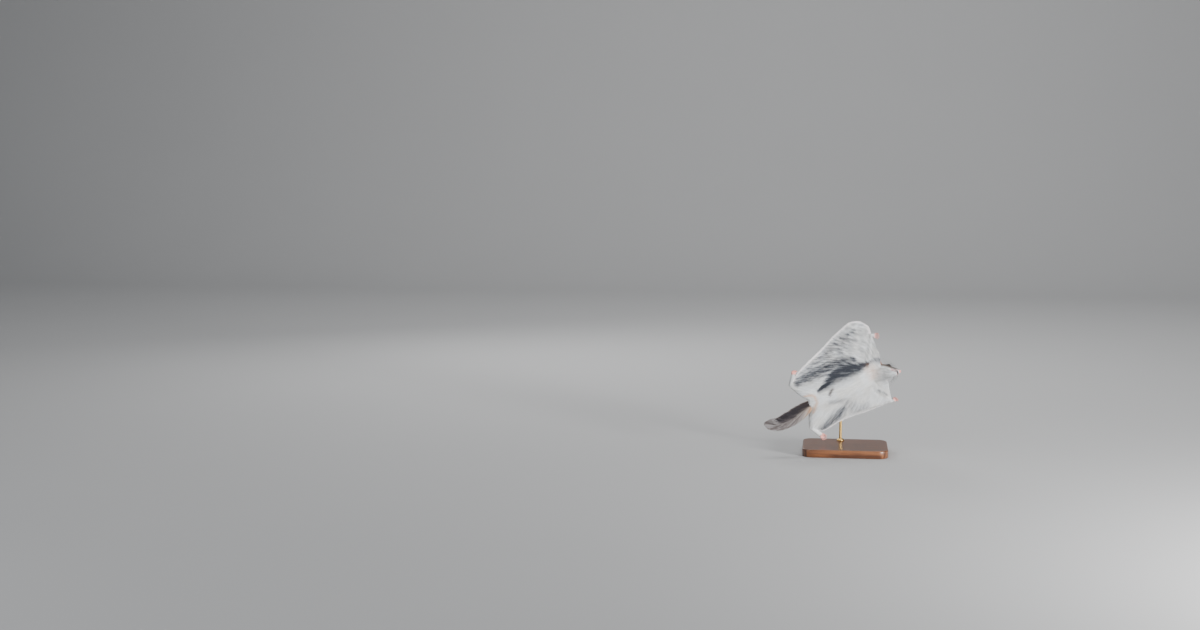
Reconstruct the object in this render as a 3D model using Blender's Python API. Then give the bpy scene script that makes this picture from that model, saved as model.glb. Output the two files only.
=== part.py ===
"""A gliding flying squirrel at life size, as a still museum model on a plain display stand.

The animal is modelled in its own frame: X to the nose, Y to its left, Z to its back, with the origin
at the root of the tail's underside. An empty then banks it over the stand. The shape functions take
millimetres, and the mesh maker turns them into metres. Neighbours meet face to face, a JOIN_GAP apart.
"""

import math
import random

import bmesh
import bpy
import numpy as np
from mathutils import Vector

MM = 0.001
JOIN_GAP = 0.3
LEFT = 1
RIGHT = -1
SIDE_NAMES = {LEFT: "left", RIGHT: "right"}

# Pose over the stand
HEADING = 11.0
NOSE_UP = 25.0
BANK = 69.3
TAIL_ROOT_AT = (-51.0, -37.5, 93.0)

# Trunk: distance ahead of the tail root, half width, height of the back, depth of the belly
TRUNK_STATIONS = (
    (-8.0, 9.0, 16.0, -0.5),
    (0.0, 14.5, 21.0, 0.8),
    (13.0, 20.0, 25.5, 2.2),
    (34.0, 22.5, 28.5, 4.0),
    (62.0, 23.0, 29.5, 5.0),
    (90.0, 21.0, 27.5, 3.6),
    (108.0, 17.5, 24.0, 1.6),
)
TRUNK_SQUARENESS = 2.25
FLANK_HEIGHT = 9.0
BODY_SIDES = 24

# Head: distance ahead of its joint, half width, height of the crown, depth of the cheek and lip
HEAD_AT = (120.0, 3.0, 11.0)
HEAD_DOWN = 31.0
HEAD_TURN = 6.0
HEAD_STATIONS = (
    (0.0, 13.6, 11.6, 11.4),
    (7.0, 15.2, 13.2, 12.0),
    (14.0, 15.6, 13.8, 11.4),
    (20.0, 14.0, 13.2, 9.6),
    (25.0, 11.4, 11.2, 7.6),
    (30.0, 8.6, 8.3, 6.2),
    (35.0, 6.9, 5.9, 5.2),
    (39.0, 5.6, 4.2, 4.2),
    (41.5, 3.9, 2.7, 2.8),
)
JAW_STATIONS = (
    (3.0, 2.5, -1.0, 5.0),
    (9.0, 5.6, -1.2, 9.6),
    (15.0, 8.2, -1.6, 11.6),
    (21.0, 8.8, -2.4, 11.5),
    (27.0, 7.3, -3.3, 10.3),
    (32.0, 5.3, -3.7, 9.0),
    (36.0, 3.8, -4.1, 7.8),
    (38.0, 2.3, -4.6, 6.5),
)
MOUTH_HEIGHT = -4.0
MOUTH_CORNER = 28.0
MOUTH_CORNER_GAP = 0.6
MOUTH_FRONT_GAP = 1.5
MOUTH_DEPTH = 2.2
MOUTH_LIFT = 0.9
EYE_AT = (21.8, 8.3, 6.2)
EYE_LOOK = (0.36, 0.80, 0.46)
EYE_RADIUS = 4.7
LID_OPENING = 4.1
LID_THICKNESS = 1.1
NOSE_PAD = (2.0, 2.5, 1.9)
NOSTRIL_RADIUS = 0.55
EAR_AT = (6.5, 9.6, 10.4)
EAR_HEIGHT = 15.5
EAR_WIDTH = 15.0
EAR_WALL = 0.9
EAR_CUP_DEPTH = 4.2
EAR_CURL = 1.25

# Forelegs: shoulder, elbow, wrist and fingertips, the styliform tip and the free edge of the wing
FORELEG_RADII = ((9.0, 7.0), (6.6, 5.6), (4.6, 4.2), (3.2, 2.8))
SHOULDER = (104.0, 8.0, 11.0)
LIMBS = {
    RIGHT: {
        "elbow": (120.5, 43.0, 11.0),
        "wrist": (135.0, 72.0, 12.5),
        "fingertips": (149.0, 65.5, 7.0),
        "wing_lead": (138.5, 83.5, 22.0),
        "wing_tip": (128.5, 95.5, 30.5),
        "wing_edge": ((115.0, 101.0, 31.5), (88.0, 98.5, 26.0), (40.0, 83.0, 17.0), (-9.0, 67.0, 9.0)),
        "ankle": (-29.0, 55.0, 5.0),
        "toes": (-12.0, 82.5, 2.0),
        "neck_corner": (135.0, 26.0, 5.0),
    },
    LEFT: {
        "elbow": (116.0, 42.0, 10.5),
        "wrist": (127.0, 69.0, 10.0),
        "fingertips": (140.5, 66.0, 4.0),
        "wing_lead": (129.0, 76.0, 20.0),
        "wing_tip": (123.0, 82.0, 32.0),
        "wing_edge": ((111.0, 83.0, 33.0), (92.0, 78.0, 27.0), (30.0, 64.0, 14.5), (-10.0, 62.0, 9.0)),
        "ankle": (-23.5, 49.0, 8.0),
        "toes": (-6.5, 80.5, 6.0),
        "neck_corner": (132.0, 22.0, 4.0),
    },
}
LIMB_SIDES = 12
FOREPAW = {
    "heel": 2.0,
    "sole": 6.0,
    "half_widths": (2.9, 3.2, 4.0),
    "half_heights": (2.6, 2.3, 1.8),
    "digits": 4,
    "radius": 1.1,
    "fan": 9.0,
}
CLAW_LENGTH = 3.0
CLAW_BEND = 1.1

# Hind legs
HIP = (6.0, 8.0, 10.0)
HINDLEG_RADII = ((15.0, 10.0), (13.0, 8.0), (9.5, 6.0), (4.2, 3.6))
HINDFOOT = {
    "heel": 2.5,
    "sole": 18.5,
    "half_widths": (3.3, 3.5, 4.2),
    "half_heights": (3.3, 2.7, 2.0),
    "digits": 5,
    "radius": 1.08,
    "fan": 7.0,
}

# Membrane
MEMBRANE_THICKNESS = 2.2
MEMBRANE_EDGE = 1.3
MEMBRANE_ROOT = 5.5
MEMBRANE_FILLET = 0.10
BILLOW = 6.0

# Tail: its course behind the root, half width and half thickness of its coat
TAIL_COURSE = (
    (4.0, 0.0, 9.0),
    (-12.0, 2.0, 7.0),
    (-32.0, 5.0, 4.0),
    (-56.0, 6.0, 0.0),
    (-78.0, 2.5, -3.5),
    (-95.0, -8.5, -5.0),
)
TAIL_WIDTHS = (6.5, 12.5, 17.0, 17.0, 14.5, 9.0)
TAIL_THICKNESSES = (5.5, 5.0, 4.4, 4.0, 3.2, 2.0)
TAIL_CORE_SHARE = 0.42
TAIL_CORE_END = 0.93
SIDE_LOCKS = 13
SIDE_LOCK_ROOTS = (0.07, 0.79)
SIDE_LOCK_REACH = 0.25
MIDDLE_LOCKS = 5
MIDDLE_LOCK_ROOTS = (0.06, 0.76)
MIDDLE_LOCK_REACH = 0.24
MIDDLE_LOCK_LEAN = 0.10
TIP_LOCKS = 5
TIP_LOCK_ROOT = 0.77
TIP_LOCK_END = 1.05
LOCK_WIDTH = 7.0
LOCK_THICKNESS = 1.7
LOCK_LAYER = 1.05
LOCK_SEED = 7

# Stand
BASE_LENGTH = 150.0
BASE_DEPTH = 120.0
BASE_THICKNESS = 14.0
BASE_CORNER = 18.0
BASE_EDGE = 2.0
ROD_RADIUS = 2.5
ROD_FOOT = (-8.0, 40.0)
ROD_BEND = 24.0
FERRULE_RADIUS = 7.0
FERRULE_HEIGHT = 4.0
BACK_CONTACT = (58.0, 9.0, 26.0)


def clear_scene():
    """Removes whatever the file opened with."""
    for old in list(bpy.data.objects):
        bpy.data.objects.remove(old, do_unlink=True)


def material(name, colour, roughness, metallic=0.0):
    """One Principled material, made once for each name."""
    found = bpy.data.materials.get(name)
    if found:
        return found
    made = bpy.data.materials.new(name)
    made.use_nodes = True
    shader = made.node_tree.nodes["Principled BSDF"]
    shader.inputs["Base Color"].default_value = (*colour, 1.0)
    shader.inputs["Roughness"].default_value = roughness
    shader.inputs["Metallic"].default_value = metallic
    made.diffuse_color = (*colour, 1.0)
    return made


def solid(name, points, faces, finish):
    """An object from points in millimetres, with its faces turned outwards."""
    mesh = bpy.data.meshes.new(name)
    mesh.from_pydata([tuple(MM * value for value in point) for point in points], [], faces)
    tidy = bmesh.new()
    tidy.from_mesh(mesh)
    bmesh.ops.recalc_face_normals(tidy, faces=tidy.faces)
    tidy.to_mesh(mesh)
    tidy.free()
    mesh.materials.append(finish)
    mesh.shade_smooth()
    made = bpy.data.objects.new(name, mesh)
    bpy.context.scene.collection.objects.link(made)
    return made


def unit(vector):
    vector = np.asarray(vector, float)
    return vector / np.linalg.norm(vector)


def on_side(point, side):
    """A point of the left half, or its mirror image."""
    return np.array((point[0], side * point[1], point[2]), float)


def smooth_path(points, count):
    """Points spread evenly by length on one smooth curve through the given points."""
    points = np.array(points, float)
    reach = np.concatenate(([0.0], np.cumsum(np.linalg.norm(np.diff(points, axis=0), axis=1))))
    slope = np.gradient(points, reach, axis=0)
    spots = np.linspace(0.0, reach[-1], count)
    return np.array([hermite(points, slope, reach, spot) for spot in spots])


def hermite(values, slopes, knots, spot):
    """The value at one spot of the cubic that has these values and slopes at the knots."""
    left = int(np.clip(np.searchsorted(knots, spot) - 1, 0, len(knots) - 2))
    width = knots[left + 1] - knots[left]
    t = (spot - knots[left]) / width
    return (
        (2 * t**3 - 3 * t**2 + 1) * values[left]
        + (t**3 - 2 * t**2 + t) * width * slopes[left]
        + (3 * t**2 - 2 * t**3) * values[left + 1]
        + (t**3 - t**2) * width * slopes[left + 1]
    )


def profile(stations, spot):
    """The smooth cross-section sizes at one distance along a list of stations."""
    table = np.array(stations, float)
    slopes = np.gradient(table[:, 1:], table[:, 0], axis=0)
    return hermite(table[:, 1:], slopes, table[:, 0], spot)


def ring(centre, across, above, half_width, over, under, sides, squareness=2.0):
    """A closed row of points round a centre, rounder or squarer, with its own height over and under."""
    points = []
    for index in range(sides):
        angle = math.tau * index / sides
        c, s = math.cos(angle), math.sin(angle)
        u = math.copysign(abs(c) ** (2 / squareness), c) * half_width
        v = math.copysign(abs(s) ** (2 / squareness), s) * (over if s > 0 else under)
        points.append(np.asarray(centre) + u * np.asarray(across) + v * np.asarray(above))
    return points


def loft(name, rings, finish):
    """A closed body through rings of equal count, with a fan over each end."""
    sides = len(rings[0])
    points = [point for row in rings for point in row]
    faces = []
    for row in range(len(rings) - 1):
        for index in range(sides):
            after = (index + 1) % sides
            low, high = row * sides, (row + 1) * sides
            faces.append((low + index, low + after, high + after, high + index))
    for row in (0, len(rings) - 1):
        middle = len(points)
        points.append(np.mean(rings[row], axis=0))
        start = row * sides
        faces.extend((start + i, start + (i + 1) % sides, middle) for i in range(sides))
    return solid(name, points, faces, finish)


def tube(name, path, widths, heights, up, sides, finish, squareness=2.0, grow=0.0):
    """A closed body along a path, wide across it and high towards up."""
    path = np.asarray(path, float)
    along = np.gradient(path, axis=0)
    rings = []
    for centre, ahead, half_width, height in zip(path, along, widths, heights):
        across = unit(np.cross(up, ahead))
        above = unit(np.cross(ahead, across))
        half_width, height = half_width + grow, height + grow
        rings.append(ring(centre, across, above, half_width, height, height, sides, squareness))
    return loft(name, rings, finish)


def spread(values, count):
    """A few sizes, smoothed out to as many as a path has points."""
    values = np.array(values, float)
    knots = np.linspace(0.0, 1.0, len(values))
    slopes = np.gradient(values, knots)
    return [float(hermite(values, slopes, knots, spot)) for spot in np.linspace(0.0, 1.0, count)]


def ball(name, centre, radii, axes, rows, sides, finish):
    """A closed egg shape with its poles along the first axis."""
    ahead, across, above = (unit(axis) for axis in axes)
    rings = []
    for row in range(1, rows):
        angle = math.pi * row / rows
        middle = np.asarray(centre) - math.cos(angle) * radii[0] * ahead
        size = math.sin(angle)
        rings.append(ring(middle, across, above, size * radii[1], size * radii[2], size * radii[2], sides))
    points = [point for row in rings for point in row]
    points += [np.asarray(centre) - radii[0] * ahead, np.asarray(centre) + radii[0] * ahead]
    faces = []
    for row in range(len(rings) - 1):
        for index in range(sides):
            after = (index + 1) % sides
            low, high = row * sides, (row + 1) * sides
            faces.append((low + index, low + after, high + after, high + index))
    last = (len(rings) - 1) * sides
    for index in range(sides):
        after = (index + 1) % sides
        faces.append((after, index, len(points) - 2))
        faces.append((last + index, last + after, len(points) - 1))
    return solid(name, points, faces, finish)


def apply_boolean(body, operation, tools):
    """Joins or cuts a body with closed tools in one step, and removes the tools."""
    group = bpy.data.collections.new("tools")
    bpy.context.scene.collection.children.link(group)
    for tool in tools:
        group.objects.link(tool)
    step = body.modifiers.new("boolean", "BOOLEAN")
    step.operation = operation
    step.operand_type = "COLLECTION"
    step.collection = group
    step.solver = "EXACT"
    bpy.context.view_layer.update()
    graph = bpy.context.evaluated_depsgraph_get()
    result = bpy.data.meshes.new_from_object(body.evaluated_get(graph))
    body.modifiers.remove(step)
    body.data = result
    for tool in tools:
        bpy.data.objects.remove(tool, do_unlink=True)
    bpy.data.collections.remove(group)
    keep_largest(body)
    return body


def keep_largest(body):
    """Keeps only the largest closed surface of a body, all in triangles."""
    work = bmesh.new()
    work.from_mesh(body.data)
    bmesh.ops.triangulate(work, faces=work.faces)
    unseen = set(work.faces)
    shells = []
    while unseen:
        shell = [unseen.pop()]
        for face in shell:
            for edge in face.edges:
                for other in edge.link_faces:
                    if other in unseen:
                        unseen.remove(other)
                        shell.append(other)
        shells.append(shell)
    largest = max(shells, key=lambda shell: sum(face.calc_area() for face in shell))
    spare = [face for shell in shells if shell is not largest for face in shell]
    bmesh.ops.delete(work, geom=spare, context="FACES")
    loose = [vertex for vertex in work.verts if not vertex.link_faces]
    bmesh.ops.delete(work, geom=loose, context="VERTS")
    work.to_mesh(body.data)
    work.free()


def trunk_rings(first, last, step, grow=0.0):
    """Cross-sections of the trunk between two distances ahead of the tail root."""
    rings = []
    for along in np.linspace(first, last, max(2, round((last - first) / step) + 1)):
        half_width, back, belly = profile(TRUNK_STATIONS, along)
        centre = (along, 0.0, FLANK_HEIGHT)
        over, under = back - FLANK_HEIGHT + grow, belly + FLANK_HEIGHT + grow
        rings.append(
            ring(centre, (0, 1, 0), (0, 0, 1), half_width + grow, over, under, BODY_SIDES, TRUNK_SQUARENESS)
        )
    return rings


def make_torso(name="torso", grow=0.0):
    first, last = TRUNK_STATIONS[0][0] - grow, TRUNK_STATIONS[-1][0] + grow
    rings = trunk_rings(TRUNK_STATIONS[0][0], TRUNK_STATIONS[-1][0], 7.0, grow)
    for point in rings[0]:
        point[0] = first
    for point in rings[-1]:
        point[0] = last
    tail_end = []
    for spot in rings[0]:
        height = FLANK_HEIGHT + 0.62 * (spot[2] - FLANK_HEIGHT)
        tail_end.append(np.array((first - 2.5, 0.62 * spot[1], height)))
    return loft(name, [tail_end] + rings, material("belly_coat", (0.82, 0.78, 0.70), 0.9))


def head_axes():
    """Ahead, left and above as the head holds them."""
    down, turn = math.radians(HEAD_DOWN), math.radians(HEAD_TURN)
    ahead = np.array((math.cos(down) * math.cos(turn), math.cos(down) * math.sin(turn), -math.sin(down)))
    left = unit(np.cross((0, 0, 1), ahead))
    return ahead, left, np.cross(ahead, left)


def in_head(point):
    """A point given along, left of and above the head's joint, in the animal's frame."""
    ahead, left, above = head_axes()
    return np.array(HEAD_AT) + point[0] * ahead + point[1] * left + point[2] * above


def head_ring(along, sizes, grow=0.0, centre_height=0.0):
    ahead, left, above = head_axes()
    half_width, over, under = sizes
    centre = in_head((along, 0.0, centre_height))
    return ring(centre, left, above, half_width + grow, over + grow, under + grow, BODY_SIDES, 2.1)


def make_neck(name="neck", grow=0.0):
    """The short stretch between two flat joints, turning from the trunk's line into the head's."""
    start = trunk_rings(TRUNK_STATIONS[-1][0], TRUNK_STATIONS[-1][0] + 1e-6, 1.0, grow)[0]
    end = head_ring(0.0, HEAD_STATIONS[0][1:], grow)
    steps = 4
    rings = []
    for index in range(steps + 1):
        t = index / steps
        row = [(1 - t) * np.array(a) + t * np.array(b) for a, b in zip(start, end)]
        middle = np.mean(row, axis=0)
        swell = 1 + 0.05 * math.sin(math.pi * t)
        rings.append([middle + swell * (point - middle) for point in row])
    ahead = head_axes()[0]
    shift = JOIN_GAP if grow == 0.0 else -grow
    rings[0] = [point + np.array((shift, 0, 0)) for point in rings[0]]
    rings[-1] = [point - shift * ahead for point in rings[-1]]
    return loft(name, rings, material("belly_coat", (0.82, 0.78, 0.70), 0.9))


def head_body(name, grow=0.0):
    """The skull and muzzle with the lower jaw fused under it, before the eyes and mouth are cut."""
    ahead = head_axes()[0]
    rings = []
    for along in np.linspace(0.0, HEAD_STATIONS[-1][0], 16):
        rings.append(head_ring(along, profile(HEAD_STATIONS, along), grow))
    rings[0] = [point - grow * ahead for point in rings[0]]
    front = np.mean(rings[-1], axis=0)
    rings.append([front + 0.55 * (point - front) + (0.9 + grow) * ahead for point in rings[-1]])
    coat = material("head_coat", (0.72, 0.66, 0.58), 0.9)
    body = loft(name, rings, coat)
    jaw_rings = []
    for along in np.linspace(JAW_STATIONS[0][0], JAW_STATIONS[-1][0], 9):
        half_width, top, bottom = profile(JAW_STATIONS, along)
        middle = (top - bottom) / 2
        height = (top + bottom) / 2
        jaw_rings.append(head_ring(along, (half_width, height, height), grow, middle))
    jaw = loft(name + "_jaw", jaw_rings, coat)
    return apply_boolean(body, "UNION", [jaw])


def mouth_cutter():
    """A thin wedge bent round the muzzle, which opens the line of the mouth a little at the front."""
    count = 12
    reach = JAW_STATIONS[-1][0] + 0.4
    rows = [[], [], [], []]
    for index in range(count + 1):
        angle = math.pi * (index / count - 0.5)
        front = math.cos(angle)
        along = MOUTH_CORNER + (reach - MOUTH_DEPTH - MOUTH_CORNER) * front**0.8
        half_width = profile(JAW_STATIONS, min(along + 1.0, JAW_STATIONS[-1][0]))[0] + 1.2
        inner = math.sin(angle) * max(half_width - MOUTH_DEPTH, 0.4)
        outer = math.sin(angle) * (half_width + 4.0)
        gap = MOUTH_CORNER_GAP + (MOUTH_FRONT_GAP - MOUTH_CORNER_GAP) * front
        height = MOUTH_HEIGHT + MOUTH_LIFT * (1 - front)
        for row, out, side in ((0, 0, -1), (1, 1, -1), (2, 1, 1), (3, 0, 1)):
            spot = (along + 6.0 * front * out, outer if out else inner, height + 0.5 * side * gap)
            rows[row].append(in_head(spot))
    points = [point for row in rows for point in row]
    size = count + 1
    faces = []
    for band in range(4):
        low, high = band * size, (band + 1) % 4 * size
        faces.extend((low + i, low + i + 1, high + i + 1, high + i) for i in range(count))
    faces.append((0, size, 2 * size, 3 * size))
    faces.append((count, size + count, 2 * size + count, 3 * size + count))
    return solid("mouth_cutter", points, faces, material("mouth", (0.45, 0.22, 0.20), 0.6))


def eye_frame(side):
    ahead, left, above = head_axes()
    look = unit(EYE_LOOK[0] * ahead + side * EYE_LOOK[1] * left + EYE_LOOK[2] * above)
    across = unit(np.cross(above, look))
    return in_head((EYE_AT[0], side * EYE_AT[1], EYE_AT[2])), look, across, np.cross(look, across)


def eye_ball(name, side, grow=0.0):
    centre, look, across, above = eye_frame(side)
    radius = EYE_RADIUS + grow
    gloss = material("eye", (0.015, 0.012, 0.010), 0.06)
    return ball(name, centre, (radius, radius, radius), (look, across, above), 9, 14, gloss)


def eye_lids(side):
    """The collar of skin that hugs the eye up to its opening, a little wider than it is high."""
    centre, look, across, above = eye_frame(side)
    radius = EYE_RADIUS + LID_THICKNESS
    opening = math.asin(LID_OPENING / EYE_RADIUS)
    lift = EYE_RADIUS * math.cos(opening)
    rings = []
    for turn in np.linspace(0.78 * math.pi, math.acos(lift / radius), 7):
        size = radius * math.sin(turn)
        middle = centre + radius * math.cos(turn) * look
        rings.append(ring(middle, across, above, 1.05 * size, 0.95 * size, 0.95 * size, 16))
    return loft("lids", rings, material("head_coat", (0.72, 0.66, 0.58), 0.9))


def nose_pad(name, grow=0.0):
    ahead, left, above = head_axes()
    centre = in_head((HEAD_STATIONS[-1][0] + 0.9, 0.0, 0.3))
    radii = tuple(size + grow for size in NOSE_PAD)
    return ball(name, centre, radii, (ahead, left, above), 7, 12, material("nose", (0.72, 0.45, 0.42), 0.5))


def make_nose():
    """The bare pad, with a nostril sunk into each side of it."""
    ahead, left, above = head_axes()
    pad = nose_pad("nose")
    cuts = [head_body("head_shape", JOIN_GAP)]
    for side in (LEFT, RIGHT):
        centre = in_head((HEAD_STATIONS[-1][0] + 2.5, side * 1.25, 0.2))
        radii = (1.3, NOSTRIL_RADIUS * 1.3, NOSTRIL_RADIUS)
        axes = (ahead + side * 0.7 * left, left, above)
        cuts.append(ball("nostril", centre, radii, axes, 6, 8, pad.data.materials[0]))
    return apply_boolean(pad, "DIFFERENCE", cuts)


def make_head():
    head = head_body("head")
    apply_boolean(head, "UNION", [eye_lids(LEFT), eye_lids(RIGHT)])
    cutters = [eye_ball("socket", side, JOIN_GAP) for side in (LEFT, RIGHT)]
    cutters.append(mouth_cutter())
    return apply_boolean(head, "DIFFERENCE", cutters)


def make_ear(side):
    """A thin cup that opens forwards and outwards, rooted on the crown."""
    ahead, left, above = head_axes()
    root = in_head((EAR_AT[0], side * EAR_AT[1], EAR_AT[2]))
    up = unit(0.86 * above + side * 0.42 * left - 0.42 * ahead)
    facing = unit(ahead * 0.72 + side * left * 0.62)
    facing = unit(facing - np.dot(facing, up) * up)
    across = np.cross(up, facing)
    rows, columns = 8, 8
    fronts, backs = [], []
    for row in range(rows + 1):
        t = row / rows
        height = EAR_HEIGHT * (1.22 * t - 0.22)
        half = 0.5 * EAR_WIDTH * math.sqrt(1 - ((t - 0.45) / 0.585) ** 2)
        cup = EAR_CUP_DEPTH * (1 - 0.7 * t**1.5)
        for column in range(columns + 1):
            turn = EAR_CURL * (2 * column / columns - 1)
            spot = root + (height - 0.8 * turn**2 * t) * up + half * math.sin(turn) * across
            spot = spot - cup * (math.cos(turn) - 0.2) * facing
            outward = unit(math.sin(turn) * across - math.cos(turn) * facing)
            fronts.append(spot)
            backs.append(spot + EAR_WALL * (1.5 - 0.7 * t) * outward)
    points = fronts + backs
    total = len(fronts)
    faces = []
    for row in range(rows):
        for column in range(columns):
            a = row * (columns + 1) + column
            b = a + columns + 1
            for low in (0, total):
                faces.append((low + a, low + a + 1, low + b + 1))
                faces.append((low + a, low + b + 1, low + b))
    border = [column for column in range(columns)]
    border += [columns + row * (columns + 1) for row in range(rows)]
    border += [rows * (columns + 1) + column for column in range(columns, 0, -1)]
    border += [row * (columns + 1) for row in range(rows, 0, -1)]
    for index, spot in enumerate(border):
        after = border[(index + 1) % len(border)]
        faces.append((spot, after, total + after, total + spot))
    ear = solid("ear_" + SIDE_NAMES[side], points, faces, material("ear_skin", (0.62, 0.48, 0.42), 0.7))
    return apply_boolean(ear, "DIFFERENCE", [head_body("head_shape", JOIN_GAP)])


def foreleg_course(side):
    limb = LIMBS[side]
    return [on_side(SHOULDER, side), on_side(limb["elbow"], side), on_side(limb["wrist"], side)]


def foreleg_tube(name, side, grow=0.0):
    path = smooth_path(foreleg_course(side), 12)
    widths = spread([pair[0] for pair in FORELEG_RADII], 12)
    heights = spread([pair[1] for pair in FORELEG_RADII], 12)
    coat = material("belly_coat", (0.82, 0.78, 0.70), 0.9)
    if grow:
        path[-1] = path[-1] + grow * unit(path[-1] - path[-2])
    return tube(name, path, widths, heights, (0, 0, 1), LIMB_SIDES, coat, 2.0, grow)


def make_foreleg(side):
    leg = foreleg_tube("foreleg_" + SIDE_NAMES[side], side)
    cutters = [make_torso("torso_shape", JOIN_GAP), make_neck("neck_shape", JOIN_GAP)]
    return apply_boolean(leg, "DIFFERENCE", cutters)


def hindleg_course(side):
    limb = LIMBS[side]
    ankle = on_side(limb["ankle"], side)
    hip = on_side(HIP, side)
    middle = 0.5 * (hip + ankle) + np.array((-1.5, 0.0, 1.0))
    return [hip, middle, ankle]


def hindleg_tube(name, side, grow=0.0):
    path = smooth_path(hindleg_course(side), 11)
    widths = spread([pair[0] for pair in HINDLEG_RADII], 11)
    heights = spread([pair[1] for pair in HINDLEG_RADII], 11)
    coat = material("belly_coat", (0.82, 0.78, 0.70), 0.9)
    if grow:
        path[-1] = path[-1] + grow * unit(path[-1] - path[-2])
    return tube(name, path, widths, heights, (0, 0, 1), LIMB_SIDES, coat, 2.0, grow)


def make_hindleg(side):
    leg = hindleg_tube("hindleg_" + SIDE_NAMES[side], side)
    return apply_boolean(leg, "DIFFERENCE", [make_torso("torso_shape", JOIN_GAP)])


def paw_frame(joint, tips):
    ahead = unit(np.asarray(tips) - np.asarray(joint))
    above = unit(np.array((0.0, 0.0, 1.0)) - ahead[2] * ahead)
    return ahead, np.cross(above, ahead), above


def digit(name, root, ahead, above, length, radius, grow, finish):
    """One toe with a swollen pad at its end and a hooked claw."""
    path, sizes = [], []
    for t in np.linspace(0.0, 1.0, 4):
        path.append(np.asarray(root) + length * t * ahead - 0.06 * length * math.sin(math.pi * t) * above)
        sizes.append(radius * (1.0 + 0.10 * math.sin(4.2 * t)) * (1.0 if t < 1 else 0.55) + grow)
    claw_path, claw_sizes = [], []
    base = path[-1] - 0.9 * ahead + 0.25 * radius * above
    for t in np.linspace(0.0, 1.0, 3):
        bend = CLAW_BEND * t
        claw_path.append(
            base + CLAW_LENGTH / CLAW_BEND * (math.sin(bend) * ahead - (1 - math.cos(bend)) * above)
        )
        claw_sizes.append(0.62 * radius * (1 - 0.82 * t) + grow)
    toe = tube(name, path, sizes, sizes, above, 6, finish)
    claw = tube(name + "_claw", claw_path, [0.7 * size for size in claw_sizes], claw_sizes, above, 4, finish)
    return toe, claw


def foot_body(name, joint, tips, foot, grow=0.0):
    """A foot from its joint to its claw tips, fused into one body."""
    skin = material("foot_skin", (0.78, 0.52, 0.47), 0.6)
    ahead, left, above = paw_frame(joint, tips)
    length = np.linalg.norm(np.asarray(tips) - np.asarray(joint))
    ball_at = np.asarray(joint) + foot["sole"] * ahead
    path = smooth_path([np.asarray(joint) - foot["heel"] * ahead, joint, ball_at], 6)
    path = np.vstack([path[:1] - grow * ahead, path[1:], ball_at + (1.2 + grow) * ahead])
    widths = spread(foot["half_widths"], len(path) - 1) + [0.6 * foot["half_widths"][-1]]
    heights = spread(foot["half_heights"], len(path) - 1) + [0.6 * foot["half_heights"][-1]]
    body = tube(name, path, widths, heights, above, 10, skin, 2.2, grow)
    pieces = []
    for index in range(foot["digits"]):
        s = 2 * index / (foot["digits"] - 1) - 1
        angle = math.radians(foot["fan"]) * s
        out = math.cos(angle) * ahead + math.sin(angle) * left
        root = ball_at - 2.0 * ahead + (foot["half_widths"][-1] - foot["radius"]) * s * left
        reach = (length - foot["sole"] - 0.75 * CLAW_LENGTH) * (1.0 - 0.18 * s * s) + 2.0
        pieces.extend(digit(name + str(index), root, out, above, reach, foot["radius"], grow, skin))
    return apply_boolean(body, "UNION", pieces)


def forepaw_body(name, side, grow=0.0):
    limb = LIMBS[side]
    return foot_body(name, on_side(limb["wrist"], side), on_side(limb["fingertips"], side), FOREPAW, grow)


def hindfoot_body(name, side, grow=0.0):
    limb = LIMBS[side]
    return foot_body(name, on_side(limb["ankle"], side), on_side(limb["toes"], side), HINDFOOT, grow)


def make_forepaw(side):
    paw = forepaw_body("forepaw_" + SIDE_NAMES[side], side)
    return apply_boolean(paw, "DIFFERENCE", [foreleg_tube("arm_shape", side, JOIN_GAP)])


def make_hindfoot(side):
    foot = hindfoot_body("hindfoot_" + SIDE_NAMES[side], side)
    return apply_boolean(foot, "DIFFERENCE", [hindleg_tube("leg_shape", side, JOIN_GAP)])


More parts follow.
